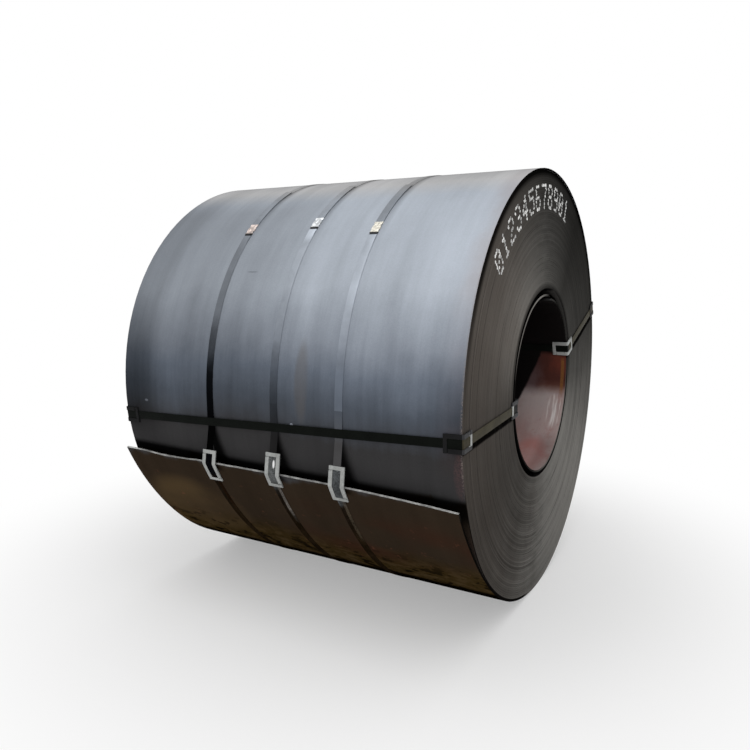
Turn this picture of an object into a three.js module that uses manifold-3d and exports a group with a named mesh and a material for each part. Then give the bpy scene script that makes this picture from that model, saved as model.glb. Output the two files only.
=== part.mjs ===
// A coil of hot rolled steel strip lying on its side. The outer end of the strip, the tail,
// has sprung open, the innermost wrap hangs loose in the bore, and the coil is held by
// bands round it and by bands through its eye, on pressed edge protectors.
//
// Millimetres, +Z up. X runs along the coil's axis towards its near end face, Y to the
// back, and the origin is on the floor under the middle of the coil.
//
// Inside, everything is drawn in the coil's own frame: x to the back, y up and z along the
// axis. Angles are in degrees about the axis, from x towards y. The strip and the bands are
// followed with the angle falling, which is how the strip runs out to its tail, so that
// the left of any such line is its outside.
import * as THREE from 'three';
import { mergeVertices } from 'three/addons/utils/BufferGeometryUtils.js';
import Module from 'manifold-3d';

const wasm = await Module();
wasm.setup();

// ---- Driving dimensions ----

const coilDiameter = 1750;
const coilWidth = 1500;
const boreDiameter = 762; // of the mandrel that the strip was wound on
const stripThickness = 8;
const facetCount = 72; // flats round every turned form; each flat touches the true circle

const seatGap = 0.3; // clearance between pieces that rest on each other

const ringsOfTurns = 15; // rings of turns that show on each end
const ringStep = 1.1; // how far one ring of turns stands behind the next
const ringStepCount = 4;

const tailAngle = 196.4; // where the outer end of the strip is
const tailLength = 480; // how much of it stands off the coil
const tailStandOff = 46; // how far its edge stands off

const headAngle = 75; // where the inner end of the strip is
const headCurl = 26; // how far that end has sprung away from the turns round it
const restGap = 8; // of the loose wrap, where it lies closest to the turns round it
const bellyGap = 32; // where it sags away from them most
const ledgeGap = 19; // before it passes behind its own end
const headClearance = 0.5; // between the wrap and the stretch that passes behind it
const looseJoin = 10; // how deep in the turns round it the wrap ends
const looseRecess = 4; // how far its edges stand behind the end faces

const bandWidth = 32;
const bandThickness = 1;
const bandLead = 18; // the covered end of a band, beyond its seal
const bandFreeEnd = 285; // the free end of a band, beyond its seal
const bandRamp = 30; // over which a band climbs from one level to another
const farBandStation = -286; // along the axis, from the middle of the coil
const middleBandStation = 18;
const nearBandStation = 295;
const roundBands = [
  // slip is how far the protector under the band has slipped up over the tail's edge
  { station: farBandStation, sealAngle: 133.2, slip: -14 },
  { station: middleBandStation, sealAngle: 131.5, slip: 14 },
  { station: nearBandStation, sealAngle: 134.1, slip: 4 },
];
const crossingStandOff = 3; // of the round bands, where the front eye band presses on them
const crossingMargin = 4; // how much wider than the eye band each crossing is

const sealLength = 57;
const sealThickness = 1;

const frontEyeOffset = 14; // of a band through the eye from the radius at its angle
const frontSealStation = -180; // its seal is in the bore
const backEyeOffset = -5;
const backSealStation = 160; // its seal is on the skin
const frontEye = {
  angle: 183.1,
  twist: 3.7,
  offset: frontEyeOffset,
  sealStation: frontSealStation,
  sealInBore: true,
};
const backEye = {
  angle: 19.6,
  twist: -1.5,
  offset: backEyeOffset,
  sealStation: backSealStation,
  sealInBore: false,
};
const eyeFreeEnd = 120;

const protectorWidth = 64;
const protectorLeg = 66;
const protectorPlate = 1.6;
const protectorRail = 15.5; // width of the raised rail at each side
const protectorTab = 14; // length of the tab that bridges the band at each end
const protectorSlit = 3; // slit beside each tab, where the band is slipped in

// ---- Values that follow from them ----

const coilRadius = coilDiameter / 2;
const rimRadius = boreDiameter / 2 + stripThickness; // round the innermost wrap
const halfWidth = coilWidth / 2;
const facetAngle = 360 / facetCount;
const tailTurn = turnOf(tailLength);
const secondLayer = bandThickness + seatGap; // from one layer of band to the layer over it
const protectorFloor = seatGap + protectorPlate + seatGap; // from the coil to the band
const protectorHeight = protectorPlate + seatGap + bandThickness + seatGap + protectorPlate;
const bodyRadius = coilRadius - stripThickness - 2; // the turned body, inside the outer turn
const floorHeight = -(outerRadius(beforeTail(270)) + seatGap + bandThickness);

// ---- The lines that the strip follows ----

// The turn of a length along the coil's skin, in degrees.
function turnOf(length) {
  return THREE.MathUtils.radToDeg(length / (coilDiameter / 2));
}

function polar(angle, radius) {
  const turn = THREE.MathUtils.degToRad(angle);
  return new THREE.Vector2(radius * Math.cos(turn), radius * Math.sin(turn));
}

// How far a place on the coil's skin lies before the tail's edge, in degrees.
function beforeTail(angle) {
  return THREE.MathUtils.euclideanModulo(angle - tailAngle, 360);
}

// The outside of the strip, at a travel in degrees before its outer end. It winds in by one
// thickness a turn, and the tail curls away from the coil.
function outerRadius(travel) {
  const free = Math.max(0, 1 - travel / tailTurn);
  return coilRadius - (stripThickness * travel) / 360 + tailStandOff * free * free;
}

// How far the innermost wrap has sprung away from the rim of the bore, at a travel in
// degrees after its end. It eases from each of these places to the next.
const looseWrap = [
  { travel: 0, gap: headCurl },
  { travel: 20, gap: restGap },
  { travel: 140, gap: restGap },
  { travel: 215, gap: bellyGap },
  { travel: 290, gap: (bellyGap + ledgeGap * 2) / 3 },
  { travel: 350, gap: ledgeGap },
  { travel: 380, gap: restGap - stripThickness - headClearance },
  { travel: 440, gap: -looseJoin },
];

function looseGap(travel) {
  const next = looseWrap.findIndex((place) => place.travel >= travel);
  if (next < 1) return looseWrap.at(next).gap;
  const [from, to] = looseWrap.slice(next - 1, next + 1);
  const share = THREE.MathUtils.smoothstep(travel, from.travel, to.travel);
  return THREE.MathUtils.lerp(from.gap, to.gap, share);
}

function looseInside(travel) {
  return rimRadius - looseGap(travel) - stripThickness;
}

// The angles of the corners between two flats, from one angle down to another, with both
// ends. A flat is centred on each side, on the top and on the bottom.
function cornersBetween(from, to) {
  const angles = [from];
  for (let flat = Math.ceil(from / facetAngle); flat * facetAngle > to; flat -= 1) {
    const angle = (flat - 0.5) * facetAngle;
    if (from - angle > 0.01 && angle - to > 0.01) angles.push(angle);
  }
  return [...angles, to];
}

// How far a flat stands from the axis at an angle, where its middle touches a circle.
function onFlat(angle, radius) {
  const fromMiddle = angle - facetAngle * Math.round(angle / facetAngle);
  return radius / Math.cos(THREE.MathUtils.degToRad(fromMiddle));
}

function alongFlats(from, to, radiusAt) {
  return cornersBetween(from, to).map((angle) => polar(angle, onFlat(angle, radiusAt(angle))));
}

// A line on the coil's skin, or at a distance from it.
function alongSkin(from, to, standOff) {
  return alongFlats(from, to, (angle) => outerRadius(beforeTail(angle)) + standOff);
}

// ---- Making solids ----

function toSolid(geometry) {
  geometry.deleteAttribute('normal');
  geometry.deleteAttribute('uv');
  const merged = mergeVertices(geometry, 1e-4);
  return new wasm.Manifold(new wasm.Mesh({
    numProp: 3,
    vertProperties: Float32Array.from(merged.attributes.position.array),
    triVerts: Uint32Array.from(merged.index.array),
  }));
}

function toGeometry(solid) {
  const mesh = solid.getMesh();
  const geometry = new THREE.BufferGeometry();
  geometry.setAttribute('position', new THREE.BufferAttribute(mesh.vertProperties, 3));
  geometry.setIndex(new THREE.BufferAttribute(mesh.triVerts, 1));
  geometry.computeVertexNormals();
  return geometry;
}

function joined(solids) {
  return solids.reduce((sum, next) => sum.add(next));
}

// A flat outline drawn out along z.
function prism(outline, from, to) {
  const shape = new THREE.Shape(outline);
  const geometry = new THREE.ExtrudeGeometry(shape, { depth: to - from, bevelEnabled: false });
  return toSolid(geometry.translate(0, 0, from));
}

// A line moved to its left by a distance, with mitred corners.
function beside(line, distance) {
  const left = line.slice(1).map((point, i) => {
    const along = point.clone().sub(line[i]).normalize();
    return new THREE.Vector2(-along.y, along.x);
  });
  return line.map((point, i) => {
    const before = left[Math.max(0, i - 1)];
    const after = left[Math.min(left.length - 1, i)];
    const mitre = before.clone().add(after).normalize();
    return point.clone().addScaledVector(mitre, distance / mitre.dot(after));
  });
}

// A sheet of one thickness on the left of a line, from one z to another.
function sheet(line, thickness, from, to) {
  return prism([...line, ...beside(line, thickness).reverse()], from, to);
}

// The part of a line from its start up to a length.
function startOf(line, length) {
  const part = [line[0]];
  let left = length;
  for (let i = 1; i < line.length; i += 1) {
    const step = line[i].distanceTo(line[i - 1]);
    if (step >= left) return [...part, line[i - 1].clone().lerp(line[i], left / step)];
    part.push(line[i]);
    left -= step;
  }
  return part;
}

function lengthOf(line) {
  return line.slice(1).reduce((sum, point, i) => sum + point.distanceTo(line[i]), 0);
}

function endOf(line, length) {
  return startOf([...line].reverse(), length).reverse();
}

// A band pulled tight from its first point over the points after it.
function taut(points) {
  const kept = [];
  for (const point of points) {
    while (kept.length > 1) {
      const [before, last] = kept.slice(-2);
      if (last.clone().sub(before).cross(point.clone().sub(last)) < 0) break;
      kept.pop();
    }
    kept.push(point);
  }
  return kept;
}

// ---- The coil ----

function turnedBody() {
  const ringWidth = (bodyRadius - rimRadius) / ringsOfTurns;
  const near = [];
  for (let ring = 0; ring < ringsOfTurns; ring += 1) {
    const face = halfWidth - ringStep * ((ring * 3 + 2) % ringStepCount);
    near.push(new THREE.Vector2(rimRadius + ring * ringWidth, face));
    near.push(new THREE.Vector2(rimRadius + (ring + 1) * ringWidth, face));
  }
  const far = near.map((point) => new THREE.Vector2(point.x, -point.y)).reverse();
  const profile = [...far, ...near, far[0].clone()].reverse();
  for (const point of profile) point.x = onFlat(facetAngle / 2, point.x);
  const firstCorner = THREE.MathUtils.degToRad(facetAngle / 2);
  const lathe = new THREE.LatheGeometry(profile, facetCount, firstCorner);
  return toSolid(lathe.rotateX(Math.PI / 2));
}

// The outermost turn of the strip, which ends in the tail.
function outermostTurn() {
  const released = tailAngle + tailTurn;
  const radiusAt = (angle) => outerRadius(angle - tailAngle);
  const outside = alongFlats(released + 360, tailAngle, radiusAt);
  const behindTail = alongFlats(released, tailAngle, (angle) => radiusAt(angle) - stripThickness);
  const outline = [...outside, ...behindTail.slice(1).reverse()];
  const inside = alongFlats(facetAngle * 1.5 + 360, facetAngle * 1.5, () => bodyRadius - 4);
  const whole = prism(outline, -halfWidth, halfWidth);
  return whole.subtract(prism(inside.slice(1), -coilWidth, coilWidth));
}

// The innermost wrap, which hangs loose and runs into the body after more than a turn.
function innermostWrap() {
  const end = headAngle - looseWrap.at(-1).travel;
  const line = alongFlats(headAngle, end, (angle) => looseInside(headAngle - angle));
  return sheet(line, stripThickness, looseRecess - halfWidth, halfWidth - looseRecess);
}

// ---- Edge protectors ----

// A pressed sheet bent over an edge: a plate on the given line, a rail along each side, and
// a tab over the band at each end. Each tab is joined to one rail, and the other rail ends
// short of it.
function protector(seat, middle) {
  const low = middle - protectorWidth / 2;
  const high = middle + protectorWidth / 2;
  const railLength = lengthOf(seat) - protectorTab - protectorSlit;
  const tabSeat = beside(seat, protectorHeight - protectorPlate);
  return joined([
    sheet(seat, protectorPlate, low, high),
    sheet(startOf(seat, railLength), protectorHeight, low, low + protectorRail),
    sheet(endOf(seat, railLength), protectorHeight, high - protectorRail, high),
    sheet(startOf(tabSeat, protectorTab), protectorPlate, low, high),
    sheet(endOf(tabSeat, protectorTab), protectorPlate, low, high),
  ]);
}

// ---- Seals ----

// A crimped sleeve over two layers of band, whose underside follows the given line.
function seal(line, middle) {
  const inside = bandWidth / 2 + seatGap;
  const outside = inside + sealThickness;
  const layers = 2 * (bandThickness + seatGap);
  const height = layers + sealThickness;
  return joined([
    sheet(beside(line, layers), sealThickness, middle - outside, middle + outside),
    sheet(line, height, middle - outside, middle - inside),
    sheet(line, height, middle + inside, middle + outside),
  ]);
}

// ---- Bands round the coil ----

function eyeAngleAt(eye, station) {
  return eye.angle + (eye.twist * (halfWidth - station)) / coilWidth;
}

// The highest place of the skin under a piece of an eye band's own width or more.
function eyeSeatOnSkin(eye, width) {
  const heights = [];
  for (let part = -0.5; part <= 0.5; part += 0.05) {
    for (const station of [-halfWidth, 0, halfWidth]) {
      const aside = eye.offset + part * width;
      const lean = THREE.MathUtils.radToDeg(Math.asin(aside / coilRadius));
      const angle = eyeAngleAt(eye, station) + lean;
      const radius = onFlat(angle, outerRadius(beforeTail(angle)));
      heights.push(Math.sqrt(radius ** 2 - aside ** 2));
    }
  }
  return Math.max(...heights);
}

function eyeSeatInBore(eye, width) {
  const heights = [];
  for (let part = -0.5; part <= 0.5; part += 0.05) {
    for (const station of [-halfWidth, 0, halfWidth]) {
      const aside = eye.offset + part * width;
      const lean = THREE.MathUtils.radToDeg(Math.asin(aside / rimRadius));
      const angle = eyeAngleAt(eye, station) + lean;
      const travel = THREE.MathUtils.euclideanModulo(headAngle - angle, 360);
      heights.push(Math.sqrt(looseInside(travel) ** 2 - aside ** 2));
    }
  }
  return Math.min(...heights);
}

// The stretch where the front eye band lies flat over a round band.
function crossingUnder(eye, station) {
  const height = eyeSeatOnSkin(eye, bandWidth) + crossingStandOff;
  const half = bandWidth / 2 + crossingMargin;
  const centre = new THREE.Vector2();
  const turn = THREE.MathUtils.degToRad(eyeAngleAt(eye, station));
  return [eye.offset + half, eye.offset - half]
    .map((aside) => new THREE.Vector2(height, aside).rotateAround(centre, turn));
}

// The seat of a protector over the tail's edge: down the tail's outside, and up along the
// way that the band takes from the edge to the crossing.
function tailSeat({ station, slip }) {
  const edgeAngle = tailAngle - 360;
  const down = alongSkin(edgeAngle + turnOf(protectorLeg - slip), edgeAngle, seatGap);
  const edge = down[down.length - 1];
  const [towards] = crossingUnder(frontEye, station);
  const up = towards.clone().sub(edge).setLength(protectorLeg + slip);
  return [...down, edge.clone().add(up)];
}

// The underside of a band round the coil. It starts under its seal, goes once round over
// the tail's protector and under the front eye band, and climbs over its own start.
function roundBandLine(band) {
  const { station, sealAngle, slip } = band;
  const start = sealAngle + turnOf(sealLength / 2 + bandLead);
  const climbed = start - 360 + turnOf(bandRamp / 3);
  const climb = climbed + turnOf(bandRamp);
  const end = sealAngle - 360 - turnOf(sealLength / 2 + bandFreeEnd);
  const tailEnd = tailAngle - 360 + turnOf(protectorLeg - slip + bandRamp);
  const crossing = crossingUnder(frontEye, station);
  const crossed = THREE.MathUtils.radToDeg(crossing[1].angle()) - 360;
  return [
    ...alongSkin(start, tailEnd, seatGap),
    ...beside(tailSeat(band), protectorPlate + seatGap),
    crossing[0],
    ...taut([crossing[1], ...alongSkin(crossed, climb, seatGap)]),
    ...alongSkin(climbed, end, seatGap + secondLayer),
  ];
}

function roundBand(band) {
  const { station } = band;
  return sheet(roundBandLine(band), bandThickness, station - bandWidth / 2, station + bandWidth / 2);
}

function roundSeal({ station, sealAngle }) {
  const half = turnOf(sealLength / 2);
  return seal(alongSkin(sealAngle + half, sealAngle - half, seatGap), station);
}

// ---- Bands through the eye ----
// These are drawn flat, with x along the axis and y out from it, and then wrapped: each
// slice at one place along the axis turns to the band's angle there.

function wrapped(geometry, eye) {
  const position = geometry.attributes.position;
  for (let i = 0; i < position.count; i += 1) {
    const along = position.getX(i);
    const turn = THREE.MathUtils.degToRad(eyeAngleAt(eye, along));
    const place = new THREE.Vector2(position.getY(i), position.getZ(i));
    place.rotateAround(new THREE.Vector2(), turn);
    position.setXYZ(i, place.x, place.y, along);
  }
  return geometry;
}

function eyeCorners(eye) {
  const outer = eyeSeatOnSkin(eye, protectorWidth) + seatGap;
  const inner = eyeSeatInBore(eye, protectorWidth) - seatGap;
  const end = halfWidth + seatGap;
  return {
    nearOuter: new THREE.Vector2(end, outer),
    nearInner: new THREE.Vector2(end, inner),
    farInner: new THREE.Vector2(-end, inner),
    farOuter: new THREE.Vector2(-end, outer),
  };
}

// The seats of the four protectors of an eye band, each a leg, a corner and a leg.
function eyeSeats(eye) {
  const corners = eyeCorners(eye);
  const names = Object.keys(corners);
  const seats = names.map((name, i) => {
    const corner = corners[name];
    const before = corners[names[(i + 3) % 4]].clone().sub(corner).setLength(protectorLeg);
    const after = corners[names[(i + 1) % 4]].clone().sub(corner).setLength(protectorLeg);
    return [name, [corner.clone().add(before), corner, corner.clone().add(after)]];
  });
  return Object.fromEntries(seats);
}

// The underside of the band between the protectors on the skin. The front band climbs over
// the round bands there.
function eyeSkinRun(eye, height) {
  const clear = halfWidth - protectorLeg - bandRamp / 2;
  const first = new THREE.Vector2(-clear, height);
  const last = new THREE.Vector2(clear, height);
  if (eye !== frontEye) return [first, last];
  const over = eyeSeatOnSkin(eye, bandWidth) + crossingStandOff + secondLayer;
  const stations = roundBands.map(({ station }) => station);
  const margin = bandWidth / 2 + bandRamp;
  const raised = [Math.min(...stations) - margin, ...stations, Math.max(...stations) + margin];
  return [first, ...raised.map((station) => new THREE.Vector2(station, over)), last];
}

function eyeBandLine(eye) {
  const corners = Object.values(eyeCorners(eye));
  const [nearOuter, nearInner, farInner, farOuter] = beside(
    [...corners, corners[0], corners[1]],
    protectorPlate + seatGap,
  ).slice(1, 5).map((point, i, all) => all[(i + 3) % 4]);
  const skinRun = eyeSkinRun(eye, nearOuter.y);
  const way = eye.sealInBore ? -1 : 1;
  const height = eye.sealInBore ? nearInner.y : nearOuter.y;
  const upper = height + way * secondLayer;
  const start = eye.sealStation - way * (sealLength / 2 + bandLead);
  const climbed = start - way * (bandRamp / 3);
  const end = eye.sealStation + way * (sealLength / 2 + eyeFreeEnd);
  const round = eye.sealInBore
    ? [farInner, farOuter, ...skinRun, nearOuter, nearInner]
    : [skinRun[skinRun.length - 1], nearOuter, nearInner, farInner, farOuter, skinRun[0]];
  return [
    new THREE.Vector2(start, height),
    ...round,
    new THREE.Vector2(climbed - way * bandRamp, height),
    new THREE.Vector2(climbed, upper),
    new THREE.Vector2(end, upper),
  ];
}

function eyeBand(eye) {
  const half = bandWidth / 2;
  return sheet(eyeBandLine(eye), bandThickness, eye.offset - half, eye.offset + half);
}

function eyeSeal(eye) {
  const way = eye.sealInBore ? -1 : 1;
  const height = eyeBandLine(eye)[0].y;
  const line = [-way, way].map((side) => (
    new THREE.Vector2(eye.sealStation + (side * sealLength) / 2, height)
  ));
  return seal(line, eye.offset);
}

// ---- The whole ----

const finishes = {
  strip: { color: 0x8a9199, roughness: 0.5, metalness: 0.7 },
  band: { color: 0x2e3338, roughness: 0.45, metalness: 0.6 },
  bright: { color: 0xc9ccca, roughness: 0.3, metalness: 0.9 },
  zinc: { color: 0xa5a6a1, roughness: 0.45, metalness: 0.7 },
};

const coil = new THREE.Group();

function add(name, geometry, finish) {
  const mesh = new THREE.Mesh(geometry, new THREE.MeshStandardMaterial(finishes[finish]));
  mesh.name = name;
  coil.add(mesh);
}

function addSolid(name, solid, finish) {
  add(name, toGeometry(solid), finish);
}

addSolid('coil', joined([turnedBody(), outermostTurn(), innermostWrap()]), 'strip');
roundBands.forEach((band, i) => {
  addSolid(`round_band_${i + 1}`, roundBand(band), 'band');
  addSolid(`round_band_seal_${i + 1}`, roundSeal(band), 'bright');
  addSolid(`tail_protector_${i + 1}`, protector(tailSeat(band), band.station), 'zinc');
});
for (const [side, eye] of [['front', frontEye], ['back', backEye]]) {
  const addWrapped = (name, solid, finish) => {
    add(`${side}_${name}`, wrapped(toGeometry(solid), eye), finish);
  };
  addWrapped('eye_band', eyeBand(eye), 'band');
  addWrapped('eye_band_seal', eyeSeal(eye), 'bright');
  for (const [corner, seat] of Object.entries(eyeSeats(eye))) {
    const place = corner.replace(/[A-Z]/, (letter) => `_${letter.toLowerCase()}`);
    addWrapped(`protector_${place}`, protector(seat, eye.offset), 'zinc');
  }
}

// The coil's frame stands on the floor with its axis along X.
coil.matrixAutoUpdate = false;
coil.matrix.makeBasis(
  new THREE.Vector3(0, 1, 0),
  new THREE.Vector3(0, 0, 1),
  new THREE.Vector3(1, 0, 0),
);
coil.matrix.setPosition(0, 0, -floorHeight);

const part = new THREE.Group();
part.add(coil);

export default part;
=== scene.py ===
"""A coil of hot rolled steel strip lying on its side, with its bands, seals and protectors.

Each piece is made by an operator of its own, from sizes and colours that are kept in
property groups. Metres; X runs along the coil's axis to its near end, Z is up. A place on
the coil is given by its angle about the axis, from the back towards the top, its radius
and its station along the axis. The strip is followed with the angle falling, from its inner
end, the head, to its outer end, the tail.
"""

import math
from functools import partial, reduce

import bmesh
import bpy
from bpy.props import FloatProperty, FloatVectorProperty, PointerProperty, StringProperty
from mathutils import Matrix, Vector, noise


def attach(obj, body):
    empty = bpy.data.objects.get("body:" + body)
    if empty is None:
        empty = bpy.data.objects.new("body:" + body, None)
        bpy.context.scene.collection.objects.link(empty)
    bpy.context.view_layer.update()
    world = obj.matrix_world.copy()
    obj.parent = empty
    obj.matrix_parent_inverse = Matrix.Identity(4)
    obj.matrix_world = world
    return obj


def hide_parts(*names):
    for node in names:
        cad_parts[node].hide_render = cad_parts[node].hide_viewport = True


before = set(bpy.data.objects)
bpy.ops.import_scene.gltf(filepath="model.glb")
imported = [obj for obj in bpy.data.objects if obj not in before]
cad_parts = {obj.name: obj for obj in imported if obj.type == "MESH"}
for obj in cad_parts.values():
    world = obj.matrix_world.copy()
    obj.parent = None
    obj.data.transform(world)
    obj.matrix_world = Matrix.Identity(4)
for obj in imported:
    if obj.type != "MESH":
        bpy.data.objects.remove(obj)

bl_info = {
    "name": "Steel coil",
    "version": (1, 0, 0),
    "blender": (4, 5, 0),
    "location": "3D View > Sidebar > Steel coil",
    "description": "Builds a banded coil of hot rolled strip, its finishes and its stage",
    "category": "Add Mesh",
}

BODY = "root"
CLEARANCE = 0.0003  # between pieces that rest on each other


# ---- Sizes and colours ----


def length(name, default, description):
    kind = {"unit": "LENGTH", "precision": 4}
    return FloatProperty(name=name, default=default, description=description, **kind)


def turn(name, degrees, description):
    kind = {"subtype": "ANGLE", "default": math.radians(degrees)}
    return FloatProperty(name=name, description=description, **kind)


def colour(name, default, description):
    kind = {"subtype": "COLOR", "size": 3, "min": 0, "max": 1}
    return FloatVectorProperty(name=name, default=default, description=description, **kind)


class StripSizes(bpy.types.PropertyGroup):
    diameter: length("Outside diameter", 1.75, "Across the tight turns of the coil")
    width: length("Strip width", 1.5, "Between the two end faces")
    rim_diameter: length("Rim diameter", 0.778, "Of the turns round the innermost wrap")
    thickness: length("Strip thickness", 0.008, "Of the rolled strip")
    edge_radius: length("Edge radius", 0.0009, "Of the corners of the rolled edge")
    wander: length("Edge wander", 0.0017, "How far a turn stands in or out of the end face")
    tail_angle: turn("Tail angle", 196.4, "Where the outer end of the strip is")
    tail_length: length("Tail length", 0.48, "How much of the strip stands off the coil")
    tail_lift: length("Tail lift", 0.046, "How far the outer end stands off the coil")
    tail_lean: length("Tail lean", 0.007, "How much further it stands off at the near end")
    tail_droop: turn("Tail droop", 1.25, "How far the near corner of the tail hangs back")
    head_angle: turn("Head angle", 75, "Where the inner end of the strip is")
    bore_rise: length("Bore rise", 0.01, "How far the bore stands above the middle of the coil")
    head_curl: length("Head curl", 0.03, "How far the inner end has sprung inwards")
    rest_gap: length("Rest gap", 0.008, "Of the innermost wrap where it lies closest to the rim")
    belly_gap: length("Belly gap", 0.032, "Of the innermost wrap where it sags most")
    ledge_gap: length("Ledge gap", 0.021, "Of the innermost wrap before it passes behind its end")
    recess: length("Wrap recess", 0.004, "How far the edges of the innermost wrap stand back")


class StrapSizes(bpy.types.PropertyGroup):
    width: length("Band width", 0.032, "Of the steel banding")
    thickness: length("Band thickness", 0.001, "Of the steel banding")
    lead: length("Covered end", 0.018, "Of a band, beyond its seal")
    free_end: length("Free end", 0.285, "Of a band round the coil, beyond its seal")
    eye_free_end: length("Eye free end", 0.12, "Of a band through the eye, beyond its seal")
    ramp: length("Ramp", 0.03, "Over which a band climbs from one level to another")
    spring: length("Free end lift", 0.004, "How far a free end has sprung up")
    cross_lift: length("Crossing lift", 0.003, "Of the bands that the front eye band lies on")
    seal_length: length("Seal length", 0.057, "Of a crimped sleeve")
    seal_wall: length("Seal wall", 0.001, "Sheet thickness of the sleeve")
    crimp: length("Crimp depth", 0.0032, "How far a notch of the sleeve is pressed in")


class ProtectorSizes(bpy.types.PropertyGroup):
    width: length("Protector width", 0.064, "Along the edge that it covers")
    leg: length("Leg", 0.066, "From the edge to either end")
    plate: length("Plate", 0.0016, "Sheet thickness")
    rail: length("Rail", 0.0155, "Width of the raised rail at each side")
    tab: length("Tab", 0.014, "Length of the tab that bridges the band")
    slit: length("Slit", 0.003, "Where the band is slipped in")
    bend: length("Bend radius", 0.004, "Inside the fold over an edge")


class MarkingSizes(bpy.types.PropertyGroup):
    digits: StringProperty(name="Digits", default="012345678901", description="On the near end")
    radius: length("Marking radius", 0.762, "From the axis to the middle of the digits")
    height: length("Digit height", 0.083, "From the lowest dot to the highest")
    first: turn("First digit", 139, "Angle of the first digit")
    pitch: turn("Digit pitch", 6.1, "From one digit to the next")
    dot: length("Dot", 0.0125, "Across one dot of paint")
    film: length("Film", 0.0003, "Thickness of the paint")


class Colours(bpy.types.PropertyGroup):
    # The scale colours carry painted light: a painted sheen on the upper ones, painted shade on
    # the lower ones, and the oily lower half is partly oily dirt, partly painted shade.
    scale_crest: colour("Crest scale", (0.42, 0.42, 0.425), "Mill scale on top of the coil")
    scale_light: colour("Light scale", (0.425, 0.464, 0.52), "Mill scale on the upper half")
    scale_blue: colour("Blue scale", (0.277, 0.307, 0.357), "Mill scale below it")
    scale_middle: colour("Grey scale", (0.086, 0.1, 0.124), "Mill scale above the axis")
    scale_dark: colour("Dark scale", (0.036, 0.035, 0.036), "Mill scale below the axis")
    grime: colour("Grime", (0.034, 0.0235, 0.0155), "The oily lower half")
    gold: colour("Oily dust", (0.085, 0.056, 0.028), "Golden dust in the grime low on the skin")
    floor_dust: colour("Floor dust", (0.046, 0.029, 0.01), "Yellow dust near the floor")
    rust: colour("Rust", (0.2, 0.075, 0.045), "Rust flecks and the rusty side of the bore")
    bore: colour("Bore", (0.5, 0.38, 0.365), "Inside of the innermost wrap")
    rolled_edge: colour("Rolled edge", (1.0, 0.965, 0.9), "Edges of the turns on the end faces")
    sheared: colour("Sheared steel", (0.45, 0.45, 0.44), "Fresh cut ends of the strip")
    olive_band: colour("Eye band", (0.052, 0.046, 0.03), "Banding through the eye")
    # On the skin the eye bands are painted near black as shade.
    black_band: colour("Front eye band", (0.004, 0.005, 0.004), "The same, along the skin")
    zinc: colour("Zinc", (0.4, 0.41, 0.4), "Pressed sheet of the protectors")
    # Painted shade: the protectors on the outer edges are given this dark colour.
    dull_zinc: colour("Dull zinc", (0.048, 0.048, 0.05), "The protectors on the outer edges")
    seal: colour("Seal", (0.8, 0.8, 0.78), "Bright sleeves")
    paint: colour("Paint", (0.95, 0.95, 0.93), "Marking paint")
    floor: colour("Floor", (0.95, 0.95, 0.95), "Floor and backdrop")


GROUPS = {
    "coil_strip": StripSizes,
    "coil_straps": StrapSizes,
    "coil_protectors": ProtectorSizes,
    "coil_marking": MarkingSizes,
    "coil_colours": Colours,
}


def settings(name):
    return getattr(bpy.context.scene, f"coil_{name}")


# ---- Writing node trees ----

PER_ROW = 12  # nodes side by side in the editor


def worked_out(operation, way=1):
    """A method that adds the node of an operation, with its inputs the other way round if the
    way is -1."""

    def method(*values):
        return values[0].nodes.math(operation, *values[::way])

    return method


class Value:
    """An output socket. Arithmetic on it adds the nodes that work the result out, and a
    comparison gives one or nothing."""

    def __init__(self, nodes, socket):
        self.nodes = nodes
        self.socket = socket

    def output(self, name):
        return Value(self.nodes, self.socket.node.outputs[name])

    __add__ = __radd__ = worked_out("ADD")
    __sub__ = worked_out("SUBTRACT")
    __rsub__ = worked_out("SUBTRACT", -1)
    __mul__ = __rmul__ = worked_out("MULTIPLY")
    __truediv__ = worked_out("DIVIDE")
    __abs__ = worked_out("ABSOLUTE")
    __gt__ = worked_out("GREATER_THAN")
    __lt__ = worked_out("LESS_THAN")


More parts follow.
